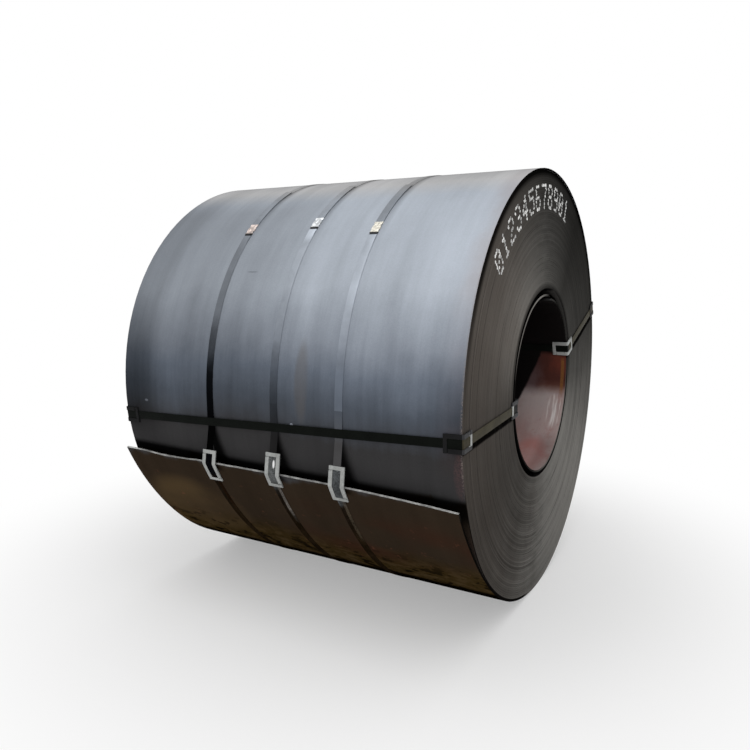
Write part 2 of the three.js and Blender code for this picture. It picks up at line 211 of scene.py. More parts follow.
class Nodes:
    """Adds nodes to one tree and joins them up."""

    def __init__(self, tree):
        self.tree = tree

    def add(self, kind, inputs=(), out=0, **values):
        """Adds a node with its inputs joined and its options set, and gives one output."""
        node = self.tree.nodes.new(kind)
        count = len(self.tree.nodes)
        node.location = (220 * (count % PER_ROW), -280 * (count // PER_ROW))
        for name, value in values.items():
            setattr(node, name, value)
        for key, value in dict(inputs).items():
            self.feed(node.inputs[key], value)
        return Value(self, node.outputs[out])

    def feed(self, socket, value):
        """Joins a value to an input, or sets the input if it is a plain one."""
        if isinstance(value, Value):
            self.tree.links.new(value.socket, socket)
        else:
            socket.default_value = value

    def math(self, operation, *values):
        return self.add("ShaderNodeMath", dict(enumerate(values)), operation=operation)

    def vector(self, operation, *values, out=0):
        return self.add("ShaderNodeVectorMath", dict(enumerate(values)), out, operation=operation)

    def scaled(self, vector, factor):
        """A vector times a number, or a colour made lighter or darker."""
        return self.add("ShaderNodeVectorMath", {0: vector, "Scale": factor}, operation="SCALE")

    def larger(self, *values):
        return reduce(partial(self.math, "MAXIMUM"), values)

    def smaller(self, first, second):
        return self.math("MINIMUM", first, second)

    def radius(self, y, z):
        return self.math("SQRT", y * y + z * z)

    def stored(self, name):
        return self.add("GeometryNodeInputNamedAttribute", {"Name": name}, data_type="FLOAT")

    def store(self, geometry, name, value, kind="FLOAT"):
        places = {"Geometry": geometry, "Name": name, "Value": value}
        return self.add("GeometryNodeStoreNamedAttribute", places, data_type=kind)

    def move(self, geometry, **places):
        return self.add("GeometryNodeSetPosition", {"Geometry": geometry, **places})

    def sweep(self, line, profile):
        places = {"Curve": line, "Profile Curve": profile, "Fill Caps": True}
        return self.add("GeometryNodeCurveToMesh", places)

    def coat(self, geometry, material, where=True):
        places = {"Geometry": geometry, "Material": material, "Selection": where}
        return self.add("GeometryNodeSetMaterial", places)

    def combine(self, x, y, z):
        return self.add("ShaderNodeCombineXYZ", {0: x, 1: y, 2: z})

    def separate(self, vector):
        node = self.add("ShaderNodeSeparateXYZ", {0: vector})
        return [node.output(axis) for axis in "XYZ"]

    def ease(self, value, start, end, low=0.0, high=1.0):
        """Goes smoothly from low to high while the value goes from start to end."""
        places = {0: value, 1: start, 2: end, 3: low, 4: high}
        return self.add("ShaderNodeMapRange", places, interpolation_type="SMOOTHSTEP")

    def between(self, value, start, full, still_full, end):
        """One in the middle of a stretch, easing off to nothing at both ends."""
        return self.ease(value, start, full) * self.ease(value, end, still_full)

    def spread(self, value, start, end, low=0.0, high=1.0):
        """Goes evenly from low to high while the value goes from start to end."""
        return self.add("ShaderNodeMapRange", {0: value, 1: start, 2: end, 3: low, 4: high})

    def vary(self, share, low, high):
        """Goes evenly from low to high while the share goes from nothing to one."""
        return self.spread(share, 0.0, 1.0, low, high)

    def noise(self, vector, scale, detail=2.0, roughness=0.5):
        places = {"Vector": vector, "Scale": scale, "Detail": detail, "Roughness": roughness}
        return self.add("ShaderNodeTexNoise", places)

    def wobble(self, x, y, z, detail=2.0, roughness=0.5):
        """Noise that follows three numbers, one unit to each swell of it."""
        return self.noise(self.combine(x, y, z), 1.0, detail, roughness)

    def mix(self, share, first, second):
        """The first colour, giving way to the second as the share grows."""
        first, second = (c if isinstance(c, Value) else solid(c) for c in (first, second))
        return self.add("ShaderNodeMix", {0: share, 6: first, 7: second}, 2, data_type="RGBA")

    def input(self, name, kind="Float", default=None):
        """A new input of the tree."""
        kind = f"NodeSocket{kind}"
        socket = self.tree.interface.new_socket(name, in_out="INPUT", socket_type=kind)
        if default is not None:
            socket.default_value = default
        return self.add("NodeGroupInput").output(name)

    def put_out(self, name, value, kind="Float"):
        """Makes a value an output of the tree."""
        kind = f"NodeSocket{kind}"
        self.tree.interface.new_socket(name, in_out="OUTPUT", socket_type=kind)
        ends = [node for node in self.tree.nodes if node.type == "GROUP_OUTPUT"]
        end = ends[0] if ends else self.tree.nodes.new("NodeGroupOutput")
        self.feed(end.inputs[name], value)


def solid(rgb):
    return (*rgb, 1.0)


def geometry_nodes(name):
    return Nodes(bpy.data.node_groups.new(name, "GeometryNodeTree"))


def linked(name, data):
    """A new object in the scene."""
    thing = bpy.data.objects.new(name, data)
    bpy.context.scene.collection.objects.link(thing)
    return thing


def grown(name, tree, mesh, values):
    """Runs a geometry tree on a mesh and keeps what comes out as a plain mesh."""
    carrier = linked(name, mesh)
    modifier = carrier.modifiers.new(tree.name, "NODES")
    modifier.node_group = tree
    for item in tree.interface.items_tree:
        if item.in_out == "INPUT" and item.name in values:
            modifier[item.identifier] = values[item.name]
    depsgraph = bpy.context.evaluated_depsgraph_get()
    evaluated = carrier.evaluated_get(depsgraph)
    result = bpy.data.meshes.new_from_object(evaluated, depsgraph=depsgraph)
    bpy.data.objects.remove(carrier)
    bpy.data.meshes.remove(mesh)
    return result


# ---- Lines on the coil ----

NEARLY_STRAIGHT = math.radians(4)  # a bend that needs no arc


def polar(angle, radius):
    return Vector((radius * math.cos(angle), radius * math.sin(angle)))


def turn_of(distance):
    """The turn of a length along the coil's skin."""
    return distance / (settings("strip").diameter / 2)


def skin(angle, station=0.0):
    """The radius of the outside of the coil."""
    strip = settings("strip")
    travel = (angle - strip.tail_angle) % math.tau
    free = max(0.0, 1 - travel / turn_of(strip.tail_length))
    lift = strip.tail_lift + strip.tail_lean * (station * 2 / strip.width) ** 3
    return strip.diameter / 2 - strip.thickness * travel / math.tau + lift * free**2


def axis_height():
    """The coil lies on the bands under it."""
    return skin(math.radians(270)) + CLEARANCE + settings("straps").thickness


def along_skin(start, end, lift, station=0.0, step=math.radians(1.5)):
    """Points over the skin, from one angle down to another."""
    count = max(1, math.ceil((start - end) / step))
    angles = [start + (end - start) * i / count for i in range(count + 1)]
    return [polar(angle, skin(angle, station) + lift) for angle in angles]


def beside(line, distance):
    """A line moved to its left, with mitred corners."""
    left = [Vector((-(b - a).y, (b - a).x)).normalized() for a, b in zip(line, line[1:])]
    moved = []
    for i, point in enumerate(line):
        before, after = left[max(0, i - 1)], left[min(len(left) - 1, i)]
        mitre = (before + after).normalized()
        moved.append(point + mitre * (distance / mitre.dot(after)))
    return moved


def rounded(line, radius, steps=6):
    """The same line with an arc for each sharp corner."""
    result = [line[0]]
    for before, corner, after in zip(line, line[1:], line[2:]):
        come, go = (corner - before).normalized(), (after - corner).normalized()
        bend = come.angle(go, 0.0)
        if bend < NEARLY_STRAIGHT:
            result.append(corner)
            continue
        room = min((corner - before).length, (after - corner).length) / 2.1
        cut = min(radius * math.tan(bend / 2), room)
        start, end = corner - come * cut, corner + go * cut
        for i in range(steps + 1):
            t = i / steps
            result.append(start.lerp(corner, t).lerp(corner.lerp(end, t), t))
    return [*result, line[-1]]


def taut(points):
    """A band pulled tight from its first point over the points after it."""
    kept = []
    for point in points:
        while len(kept) > 1:
            before, last = kept[-2:]
            first, second = last - before, point - last
            if first.x * second.y - first.y * second.x < 0:
                break
            kept.pop()
        kept.append(point)
    return kept


def length_of(line):
    return sum((b - a).length for a, b in zip(line, line[1:]))


# ---- Where the bands go ----

ROUND_BANDS = [  # station, angle of the seal, how far the protector has slipped up the edge
    (-0.286, math.radians(133.2), -0.014),
    (0.018, math.radians(131.5), 0.014),
    (0.295, math.radians(134.1), 0.004),
]
CROSSING_MARGIN = 0.004  # of the flat stretch over a round band, beside that band


class Eye:
    """A band through the eye: its angle at the near end, how far it has turned at the far
    end, how far it lies aside, and where its seal is."""

    def __init__(self, side, angle, twist, aside, seal_station, seal_in_bore):
        self.side = side
        self.angle = math.radians(angle)
        self.twist = math.radians(twist)
        self.aside = aside
        self.seal_station = seal_station
        self.seal_in_bore = seal_in_bore

    def angle_at(self, station):
        width = settings("strip").width
        return self.angle + self.twist * (width / 2 - station) / width

    def on_end(self, y, rise):
        """How far along this band and how far aside of it a place on the near end is."""
        angle = self.angle_at(settings("strip").width / 2)
        out = y * math.cos(angle) + rise * math.sin(angle)
        return out, rise * math.cos(angle) - y * math.sin(angle) - self.aside

    def seat(self, width, radius_at, choose):
        """How far out the coil reaches under a piece of that width."""
        strip = settings("strip")
        heights = []
        for station in (-strip.width / 2, 0, strip.width / 2):
            for part in range(-10, 11):
                aside = self.aside + part / 20 * width
                turned = math.asin(aside / (strip.diameter / 2))
                radius = radius_at(self.angle_at(station) + turned)
                heights.append(math.sqrt(radius**2 - aside**2))
        return choose(heights)

    def on_skin(self, width):
        return self.seat(width, skin, max)

    def in_bore(self, width):
        return self.seat(width, wrap_inside, min)

    def crossing(self, station):
        """The stretch where this band lies flat over a round band."""
        straps = settings("straps")
        height = self.on_skin(straps.width) + straps.cross_lift
        half = straps.width / 2 + CROSSING_MARGIN
        angle = self.angle_at(station)
        ends = []
        for side in (half, -half):
            place = Vector((height, self.aside + side))
            place.rotate(Matrix.Rotation(angle, 2))
            ends.append(place)
        return ends

    def corners(self):
        width = settings("protectors").width
        outer = self.on_skin(width) + CLEARANCE
        inner = self.in_bore(width) - CLEARANCE
        end = settings("strip").width / 2 + CLEARANCE
        places = {"near_outer": (end, outer), "near_inner": (end, inner)}
        places |= {"far_inner": (-end, inner), "far_outer": (-end, outer)}
        return {name: Vector(place) for name, place in places.items()}

    def seats(self):
        """The lines that its four protectors are bent along."""
        corners = self.corners()
        names = list(corners)
        leg = settings("protectors").leg
        result = {}
        for i, name in enumerate(names):
            corner = corners[name]
            before = (corners[names[i - 1]] - corner).normalized() * leg
            after = (corners[names[(i + 1) % 4]] - corner).normalized() * leg
            result[name] = [corner + before, corner, corner + after]
        return result

    def skin_run(self, height):
        """Between the protectors on the skin, over the round bands if it is in front."""
        straps = settings("straps")
        clear = settings("strip").width / 2 - settings("protectors").leg - straps.ramp / 2
        points = [Vector((-clear, height)), Vector((clear, height))]
        if self.seal_in_bore:
            over = self.on_skin(straps.width) + straps.cross_lift + straps.thickness + CLEARANCE
            margin = straps.width / 2 + straps.ramp
            stations = [station for station, _, _ in ROUND_BANDS]
            raised = [stations[0] - margin, *stations, stations[-1] + margin]
            points[1:1] = [Vector((station, over)) for station in raised]
        return points

    def band_line(self):
        straps = settings("straps")
        floor = settings("protectors").plate + CLEARANCE
        corners = list(self.corners().values())
        moved = beside([corners[3], *corners, corners[0]], floor)[1:5]
        near_outer, near_inner, far_inner, far_outer = moved
        run = self.skin_run(near_outer.y)
        way = -1 if self.seal_in_bore else 1
        height = near_inner.y if self.seal_in_bore else near_outer.y
        upper = height + way * (straps.thickness + CLEARANCE)
        start = self.seal_station - way * (straps.seal_length / 2 + straps.lead)
        climbed = start - way * straps.ramp / 3
        end = self.seal_station + way * (straps.seal_length / 2 + straps.eye_free_end)
        if self.seal_in_bore:
            round_the_coil = [far_inner, far_outer, *run, near_outer, near_inner]
        else:
            round_the_coil = [run[-1], near_outer, near_inner, far_inner, far_outer, run[0]]
        return [
            Vector((start, height)),
            *round_the_coil,
            Vector((climbed - way * straps.ramp, height)),
            Vector((climbed, upper)),
            Vector((end, upper)),
        ]


FRONT_EYE = Eye("front", 183.1, 3.7, 0.014, -0.18, True)
BACK_EYE = Eye("back", 19.6, -1.5, -0.005, 0.16, False)


def tail_seat(station, slip):
    """The line of a protector over the tail's edge."""
    leg = settings("protectors").leg
    edge_angle = settings("strip").tail_angle - math.tau
    down = along_skin(edge_angle + turn_of(leg - slip), edge_angle + 1e-6, CLEARANCE, station)
    towards = FRONT_EYE.crossing(station)[0]
    return [*down, down[-1] + (towards - down[-1]).normalized() * (leg + slip)]


def round_band_line(station, seal_angle, slip):
    straps = settings("straps")
    protectors = settings("protectors")
    second = straps.thickness + CLEARANCE
    start = seal_angle + turn_of(straps.seal_length / 2 + straps.lead)
    climbed = start - math.tau + turn_of(straps.ramp / 3)
    climb = climbed + turn_of(straps.ramp)
    end = seal_angle - math.tau - turn_of(straps.seal_length / 2 + straps.free_end)
    tail_end = settings("strip").tail_angle - math.tau
    tail_end += turn_of(protectors.leg - slip + straps.ramp)
    first, last = FRONT_EYE.crossing(station)
    crossed = math.atan2(last.y, last.x) % math.tau - math.tau
    return [
        *along_skin(start, tail_end, CLEARANCE, station),
        *beside(tail_seat(station, slip), protectors.plate + CLEARANCE),
        first,
        *taut([last, *along_skin(crossed, climb, CLEARANCE, station)]),
        *along_skin(climbed, end, CLEARANCE + second, station),
    ]


# ---- Placing what was drawn flat ----


def lay(mesh, line):
    """Bends a mesh drawn with x along a line, y off it and z across it."""
    starts = [0.0]
    for a, b in zip(line, line[1:]):
        starts.append(starts[-1] + (b - a).length)
    normals = [moved - point for moved, point in zip(beside(line, 1.0), line)]
    for vertex in mesh.vertices:
        s, off, across = vertex.co
        past = next((k for k, start in enumerate(starts) if start > s), len(line))
        i = max(0, min(len(line) - 2, past - 1))
        t = (s - starts[i]) / (starts[i + 1] - starts[i])
        place = line[i].lerp(line[i + 1], t) + normals[i].lerp(normals[i + 1], t) * off
        vertex.co = (place.x, place.y, across)


def onto_round(mesh, station):
    """From the plane of a round band to its place on the coil."""
    height = axis_height()
    for vertex in mesh.vertices:
        x, y, z = vertex.co
        vertex.co = (z + station, x, y + height)


def onto_eye(mesh, eye):
    """From the plane of an eye band to its place on the coil."""
    height = axis_height()
    for vertex in mesh.vertices:
        station, out, across = vertex.co
        across += eye.aside
        angle = eye.angle_at(station)
        y = out * math.cos(angle) - across * math.sin(angle)
        z = out * math.sin(angle) + across * math.cos(angle)
        vertex.co = (station, y, z + height)


def mesh_from(name, vertices, faces=(), edges=()):
    mesh = bpy.data.meshes.new(name)
    mesh.from_pydata(vertices, edges, faces)
    return mesh


def polyline(name, points, closed=False):
    count = len(points)
    edges = [(i, (i + 1) % count) for i in range(count if closed else count - 1)]
    return mesh_from(name, [(*point, 0.0) for point in points], edges=edges)


def face_outwards(mesh):
    shape = bmesh.new()
    shape.from_mesh(mesh)
    if shape.calc_volume(signed=True) < 0:
        bmesh.ops.reverse_faces(shape, faces=shape.faces)
    shape.to_mesh(mesh)
    shape.free()


def piece(name, mesh, node=None, material=None, put=None, sharp=None):
    """Puts a mesh in its place and says what it is. Its faces are turned outwards and made
    smooth, but for the edges over the sharp angle."""
    if put:
        put(mesh)
    if sharp:
        face_outwards(mesh)
        mesh.shade_smooth()
        mesh.set_sharp_from_angle(angle=math.radians(sharp))
    if material:
        mesh.materials.clear()
        mesh.materials.append(material)
    thing = linked(name, mesh)
    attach(thing, BODY)
    if node:
        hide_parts(node)


# ---- The strip ----

LAPS = 61  # turns of strip, from the head to the tail
STEPS_PER_LAP = 108
OUTER_LAPS = 1.1  # what can be seen of the skin: the outermost wrap and a little more
OUTER_LAPS_ACROSS = 30  # divisions across it
PACKING = 0.976  # strip thickness over the pitch of the turns
TIGHT_GAP = 0.0049  # between the rim and the tight turns, carried back to the head
CLOSING_TRAVEL = math.radians(380)  # where the innermost wrap starts to join the tight turns
LOOSE_TRAVEL = math.radians(440)  # where it has joined them
SHARP_BEND = math.radians(14)  # a sharp edge of the strip bends more than this
END_FACES = 0.001  # travel within which a face belongs to a cut end


def total_travel():
    strip = settings("strip")
    return LAPS * math.tau + strip.head_angle - strip.tail_angle


def wrap_places():
    """Travel from the head and gap to the rim; the innermost wrap eases between these."""
    strip = settings("strip")
    tight_join = strip.rim_diameter / 2 - (tight_start() + pitch() * LOOSE_TRAVEL / math.tau)
    places = [
        (0, strip.head_curl),
        (12, strip.head_curl * 0.7),
        (45, strip.rest_gap),
        (140, strip.rest_gap),
        (215, strip.belly_gap),
        (290, (strip.belly_gap + strip.ledge_gap * 2) / 3),
        (350, strip.ledge_gap),
    ]
    places = [(math.radians(travel), gap) for travel, gap in places]
    over_head = strip.rest_gap - strip.thickness - 0.0005
    return [*places, (CLOSING_TRAVEL, over_head), (LOOSE_TRAVEL, tight_join)]


def tight_start():
    """The outside radius that the tight turns would have at the head."""
    return settings("strip").rim_diameter / 2 - TIGHT_GAP


def pitch():
    """How much the radius grows with each turn."""
    return (settings("strip").diameter / 2 - tight_start()) / (total_travel() / math.tau)


def wrap_inside(angle):
    """How far the inside of the innermost wrap is from the coil's axis."""
    strip = settings("strip")
    travel = (strip.head_angle - angle) % math.tau
    places = wrap_places()
    gap = places[0][1]
    for (start, low), (end, high) in zip(places, places[1:]):
        t = max(0.0, min(1.0, (travel - start) / (end - start)))
        gap += (high - low) * t * t * (3 - 2 * t)
    radius = strip.rim_diameter / 2 - gap - strip.thickness
    aside = strip.bore_rise * math.cos(angle)
    return strip.bore_rise * math.sin(angle) + math.sqrt(radius**2 - aside**2)


def strip_section(across):
    """The section of the strip: x through its thickness, y across its width."""
    strip = settings("strip")
    wide, thick = strip.width / 2 - strip.wander, strip.thickness * PACKING / 2
    radius = strip.edge_radius
    points = []
    for side in (1, -1):
        start, end = wide - radius, radius - wide
        for i in range(across + 1):
            points.append((side * thick, side * (end + (start - end) * i / across)))
        for corner, turns in ((1, (45, 90)), (-1, (90, 135))):
            centre = (corner * side * (thick - radius), side * (wide - radius))
            for degrees in turns:
                a = math.radians(degrees)
                x, y = side * radius * math.cos(a), side * radius * math.sin(a)
                points.append((centre[0] + x, centre[1] + y))
    return points


def strip_values():
    """What the tree of the strip is told, by the names of its inputs."""
    strip = settings("strip")
    return {
        "Rim radius": strip.rim_diameter / 2,
        "Pitch": pitch(),
        "Thickness": strip.thickness,
        "Half width": strip.width / 2,
        "Edge wander": strip.wander,
        "Head angle": strip.head_angle,
        "Total travel": total_travel(),
        "Tail turn": turn_of(strip.tail_length),
        "Tail lift": strip.tail_lift,
        "Tail lean": strip.tail_lean,
        "Tail droop": strip.tail_droop,
        "Wrap recess": strip.recess,
        "Bore rise": strip.bore_rise,
        "Outside radius": strip.diameter / 2 - strip.thickness,
        "Axis height": axis_height(),
    }


def strip_tree():
    """Winds the section that it is given along the spiral of the coil."""
    nodes = geometry_nodes("Wound strip")
    ease = nodes.ease
    section = nodes.input("Section", "Geometry")
    start, end = nodes.input("From travel"), nodes.input("To travel")
    steps = nodes.input("Steps", "Int", 100)
    inputs = [nodes.input(name) for name in strip_values()]
    rim, step, thickness, half, wander, head, total, tail_turn, *inputs = inputs
    lift, lean, droop, recess, rise, outside, height = inputs

    line = nodes.add("GeometryNodeCurvePrimitiveLine")
    line = nodes.add("GeometryNodeResampleCurve", {"Curve": line, "Count": steps + 1})
    travel = start + (end - start) * nodes.add("GeometryNodeSplineParameter")
    places = wrap_places()
    gap = places[0][1]
    for (low, before), (high, after) in zip(places, places[1:]):
        gap = gap + ease(travel, low, high, 0.0, after - before)
    wound = nodes.larger(travel - LOOSE_TRAVEL, 0.0) * step / math.tau
    free = nodes.larger(1 - (total - travel) / tail_turn, 0.0)
    radius = rim - gap + wound - thickness / 2 + lift * free * free
    angle = head - travel
    cosine, sine = nodes.math("COSINE", angle), nodes.math("SINE", angle)
    slow = nodes.wobble(cosine * 0.6, sine * 0.6, travel * 0.055, 1.0)
    quick = nodes.wobble(cosine * 1.6, sine * 1.6, travel * 0.6, 1.0)
    drift = (slow - 0.5) * 3.4 + (quick - 0.5) * 1.3
    drift = nodes.larger(nodes.smaller(drift, 1.0), -1.0) * wander
    risen = nodes.larger(rise * nodes.smaller((outside - radius) / (outside - rim), 1.0), 0.0)
    line = nodes.store(nodes.store(line, "travel", travel), "free", free)
    line = nodes.move(line, Position=nodes.combine(radius * cosine, radius * sine + risen, drift))
    line = nodes.add("GeometryNodeSetCurveNormal", {"Curve": line}, mode="Z_UP")
    swept = nodes.sweep(line, nodes.add("GeometryNodeMeshToCurve", {"Mesh": section}))

    travel, free = nodes.stored("travel"), nodes.stored("free")
    x, y, z = nodes.separate(nodes.add("GeometryNodeInputPosition"))
    side = z / half
    loose = ease(travel, CLOSING_TRAVEL, LOOSE_TRAVEL, 1.0, 0.0)
    tucked = ease(travel, math.radians(352), math.radians(368))
    z = z - side * recess * loose * (1 + tucked * 3.0)
    near = nodes.larger(side, 0.0)
    dip = ease(side, -0.86, -0.7) - ease(side, -0.66, -0.45)
    rough = nodes.wobble(side * 9, 0.0, 0.0, 3.0) - 0.5
    back = droop * (near * near + dip * 0.35 + rough * 0.22 - 0.12) * free
    growth = 1 + lean * free * free * side * side * side / rim * 0.43
    dent = nodes.wobble(x * 2.3, y * 2.3, z * 1.6, 1.0) - 0.5
    growth = growth + dent * ease(travel, total - 7.0, total - 6.0) * 0.0012
    turned = {"Vector": nodes.combine(x * growth, y * growth, z), "Angle": back}
    turned = nodes.add("ShaderNodeVectorRotate", turned, rotation_type="Z_AXIS")
    swept = nodes.move(swept, Position=turned)

    along = travel * (rim + travel * step / (2 * math.tau))
    wound = nodes.combine(along, z, travel / math.tau)
    swept = nodes.store(swept, "wound", wound, "FLOAT_VECTOR")
    normal = nodes.add("GeometryNodeInputNormal")
    outwards = nodes.vector("DOT_PRODUCT", normal, nodes.combine(x, y, 0.0), out=1)
    ends = (travel > total - END_FACES) + (travel < END_FACES)
    inside = (outwards < 0.0) * (travel < 2 * math.tau)
    swept = nodes.add("GeometryNodeSetShadeSmooth", {"Geometry": swept, "Shade Smooth": True})
    bend = nodes.add("GeometryNodeInputMeshEdgeAngle") > SHARP_BEND
    sharp = {"Geometry": swept, "Selection": bend, "Shade Smooth": False}
    swept = nodes.add("GeometryNodeSetShadeSmooth", sharp, domain="EDGE")
    swept = nodes.add("GeometryNodeRealizeInstances", {"Geometry": swept})
    swept = nodes.coat(swept, skin_finish())
    swept = nodes.coat(swept, bore_finish(), inside)
    swept = nodes.coat(swept, edge_finish(), abs(nodes.separate(normal)[2]) > 0.3)
    swept = nodes.coat(swept, sheared_finish(), ends > 0.5)
    lying = {"Geometry": swept, "Rotation": (math.pi / 2, 0, math.pi / 2)}
    lying["Translation"] = nodes.combine(0.0, 0.0, height)
    nodes.put_out("Geometry", nodes.add("GeometryNodeTransform", lying), "Geometry")
    return nodes.tree


def build_strip():
    """Winds the strip in two parts, the outer one with more divisions across it."""
    tree = strip_tree()
    total = total_travel()
    split = total - OUTER_LAPS * math.tau
    shape = bmesh.new()
    for start, end, across in ((0, split, 1), (split, total, OUTER_LAPS_ACROSS)):
        steps = round((end - start) / math.tau * STEPS_PER_LAP)
        spans = {"From travel": start, "To travel": end, "Steps": steps}
        section = polyline("Strip section", strip_section(across), closed=True)
        mesh = grown("Strip", tree, section, strip_values() | spans)
        face_outwards(mesh)
        shape.from_mesh(mesh)
    shape.to_mesh(mesh)
    shape.free()
    piece("strip", mesh, "coil")


# ---- Bands ----

BAND_WAVE = 0.004  # how far a band strays from its line


def band_tree():
    """Draws a flat band along the line that it is given."""
    nodes = geometry_nodes("Flat band")
    path = nodes.input("Path", "Geometry")
    names = ("Width", "Thickness", "Wave", "Spring", "Spring length")
    width, thickness, wave, spring, spring_length = [nodes.input(name) for name in names]
    material = nodes.input("Material", "Material")
    line = nodes.add("GeometryNodeMeshToCurve", {"Mesh": path})
    line = nodes.add("GeometryNodeSetCurveNormal", {"Curve": line}, mode="Z_UP")
    along = nodes.add("GeometryNodeSplineParameter", out=1)
    whole = nodes.add("GeometryNodeSplineLength")
    tx, ty, _ = nodes.separate(nodes.add("GeometryNodeInputTangent"))
    sprung = nodes.larger(1 - (whole - along) / spring_length, 0.0)
    sideways = nodes.wobble(along * 1.7, 0.0, 0.0, 1.0) - 0.5
    shift = nodes.combine(0.0, 0.0, sideways * wave)
    lift = nodes.scaled(nodes.combine(ty * -1.0, tx, 0.0), sprung * sprung * spring)
    line = nodes.move(line, Offset=nodes.vector("ADD", lift, shift))
    profile = nodes.add("GeometryNodeCurvePrimitiveQuadrilateral", {0: thickness, 1: width})
    corners = {"Curve": profile, "Count": 2, "Radius": thickness * 0.4}
    profile = nodes.add("GeometryNodeFilletCurve", corners, mode="POLY")
    swept = nodes.add("GeometryNodeRealizeInstances", {"Geometry": nodes.sweep(line, profile)})
    nodes.put_out("Geometry", nodes.coat(swept, material), "Geometry")
    return nodes.tree


def add_band(tree, name, line, material, put):
    """Draws a band along its line, over the protectors' bends, and puts it in its place."""
    straps = settings("straps")
    protectors = settings("protectors")
    line = rounded(line, protectors.bend + protectors.plate)
    path = polyline(f"{name} path", beside(line, straps.thickness / 2))
    values = {
        "Width": straps.width,
        "Thickness": straps.thickness,
        "Wave": BAND_WAVE,
        "Spring": straps.spring,
        "Spring length": straps.free_end if "round" in name else straps.eye_free_end,
        "Material": material,
    }
    mesh = grown(name, tree, path, values)
    piece(f"{name}_detail", mesh, name, put=put, sharp=32)


# ---- Seals ----

CRIMPS = (-0.0145, 0.0145)  # from the middle of the sleeve
CRIMP_REACH = 0.0034  # of a notch, along the sleeve
SEAL_STEPS = 40


def seal_mesh():
    """A sleeve folded over two layers of band and crimped in two places."""
    straps = settings("straps")
    wall = straps.seal_wall
    inner = straps.width / 2 + CLEARANCE
    outer = inner + wall
    top = 2 * (straps.thickness + CLEARANCE) + wall
    soft = wall * 0.7
    half_section = [
        (0.0012, top - wall * 0.55),
        (0.002, top),
        (outer * 0.5, top),
        (outer - soft * 1.6, top),
        (outer - soft * 0.4, top - soft * 0.4),
        (outer, top - soft * 1.6),
        (outer, top * 0.4),
        (outer, 0.0),
        (inner, 0.0),
        (inner, top * 0.4),
        (inner, top - wall),
        (outer * 0.5, top - wall),
    ]
    section = [*half_section, *[(-a, h) for a, h in reversed(half_section)]]
    count = len(section)
    vertices = []
    for i in range(SEAL_STEPS + 1):
        s = straps.seal_length * (i / SEAL_STEPS - 0.5)
        pinch = max(math.exp(-(((s - centre) / CRIMP_REACH) ** 2)) for centre in CRIMPS)
        flare = max(0.0, abs(s) / (straps.seal_length / 2) - 0.86) * 4
        for a, h in section:
            rim = max(0.0, (abs(a) / outer - 0.45) / 0.55)
            a -= math.copysign(straps.crimp * pinch * rim, a)
            h -= h * 0.3 * pinch * rim * rim
            h += flare * 0.0007 * (1 if h > top * 0.5 else 0)
            vertices.append((s, h, a))
    faces = []
    for i in range(SEAL_STEPS):
        for k in range(count):
            a, b = i * count + k, i * count + (k + 1) % count
            faces.append((a, b, b + count, a + count))
    faces.append(tuple(range(count))[::-1])
    faces.append(tuple(SEAL_STEPS * count + k for k in range(count)))
    return mesh_from("Seal", vertices, faces)


def add_seal(name, line, put, material):
    mesh = seal_mesh()
    middle = length_of(line) / 2
    for vertex in mesh.vertices:
        vertex.co.x += middle
    lay(mesh, line)
    piece(f"{name}_detail", mesh, name, material, put, 30)


# ---- Protectors ----

FOLD_STEP = 0.0012  # between divisions along the sheet where it is folded
FOLD_STEPS = 10  # to either side of the fold
SHEET_STEPS = 24  # along the whole sheet
CLOSEST = 0.0005  # that two divisions may lie
PRESSED_EDGE = 0.0007  # how much of each sharp edge is bevelled


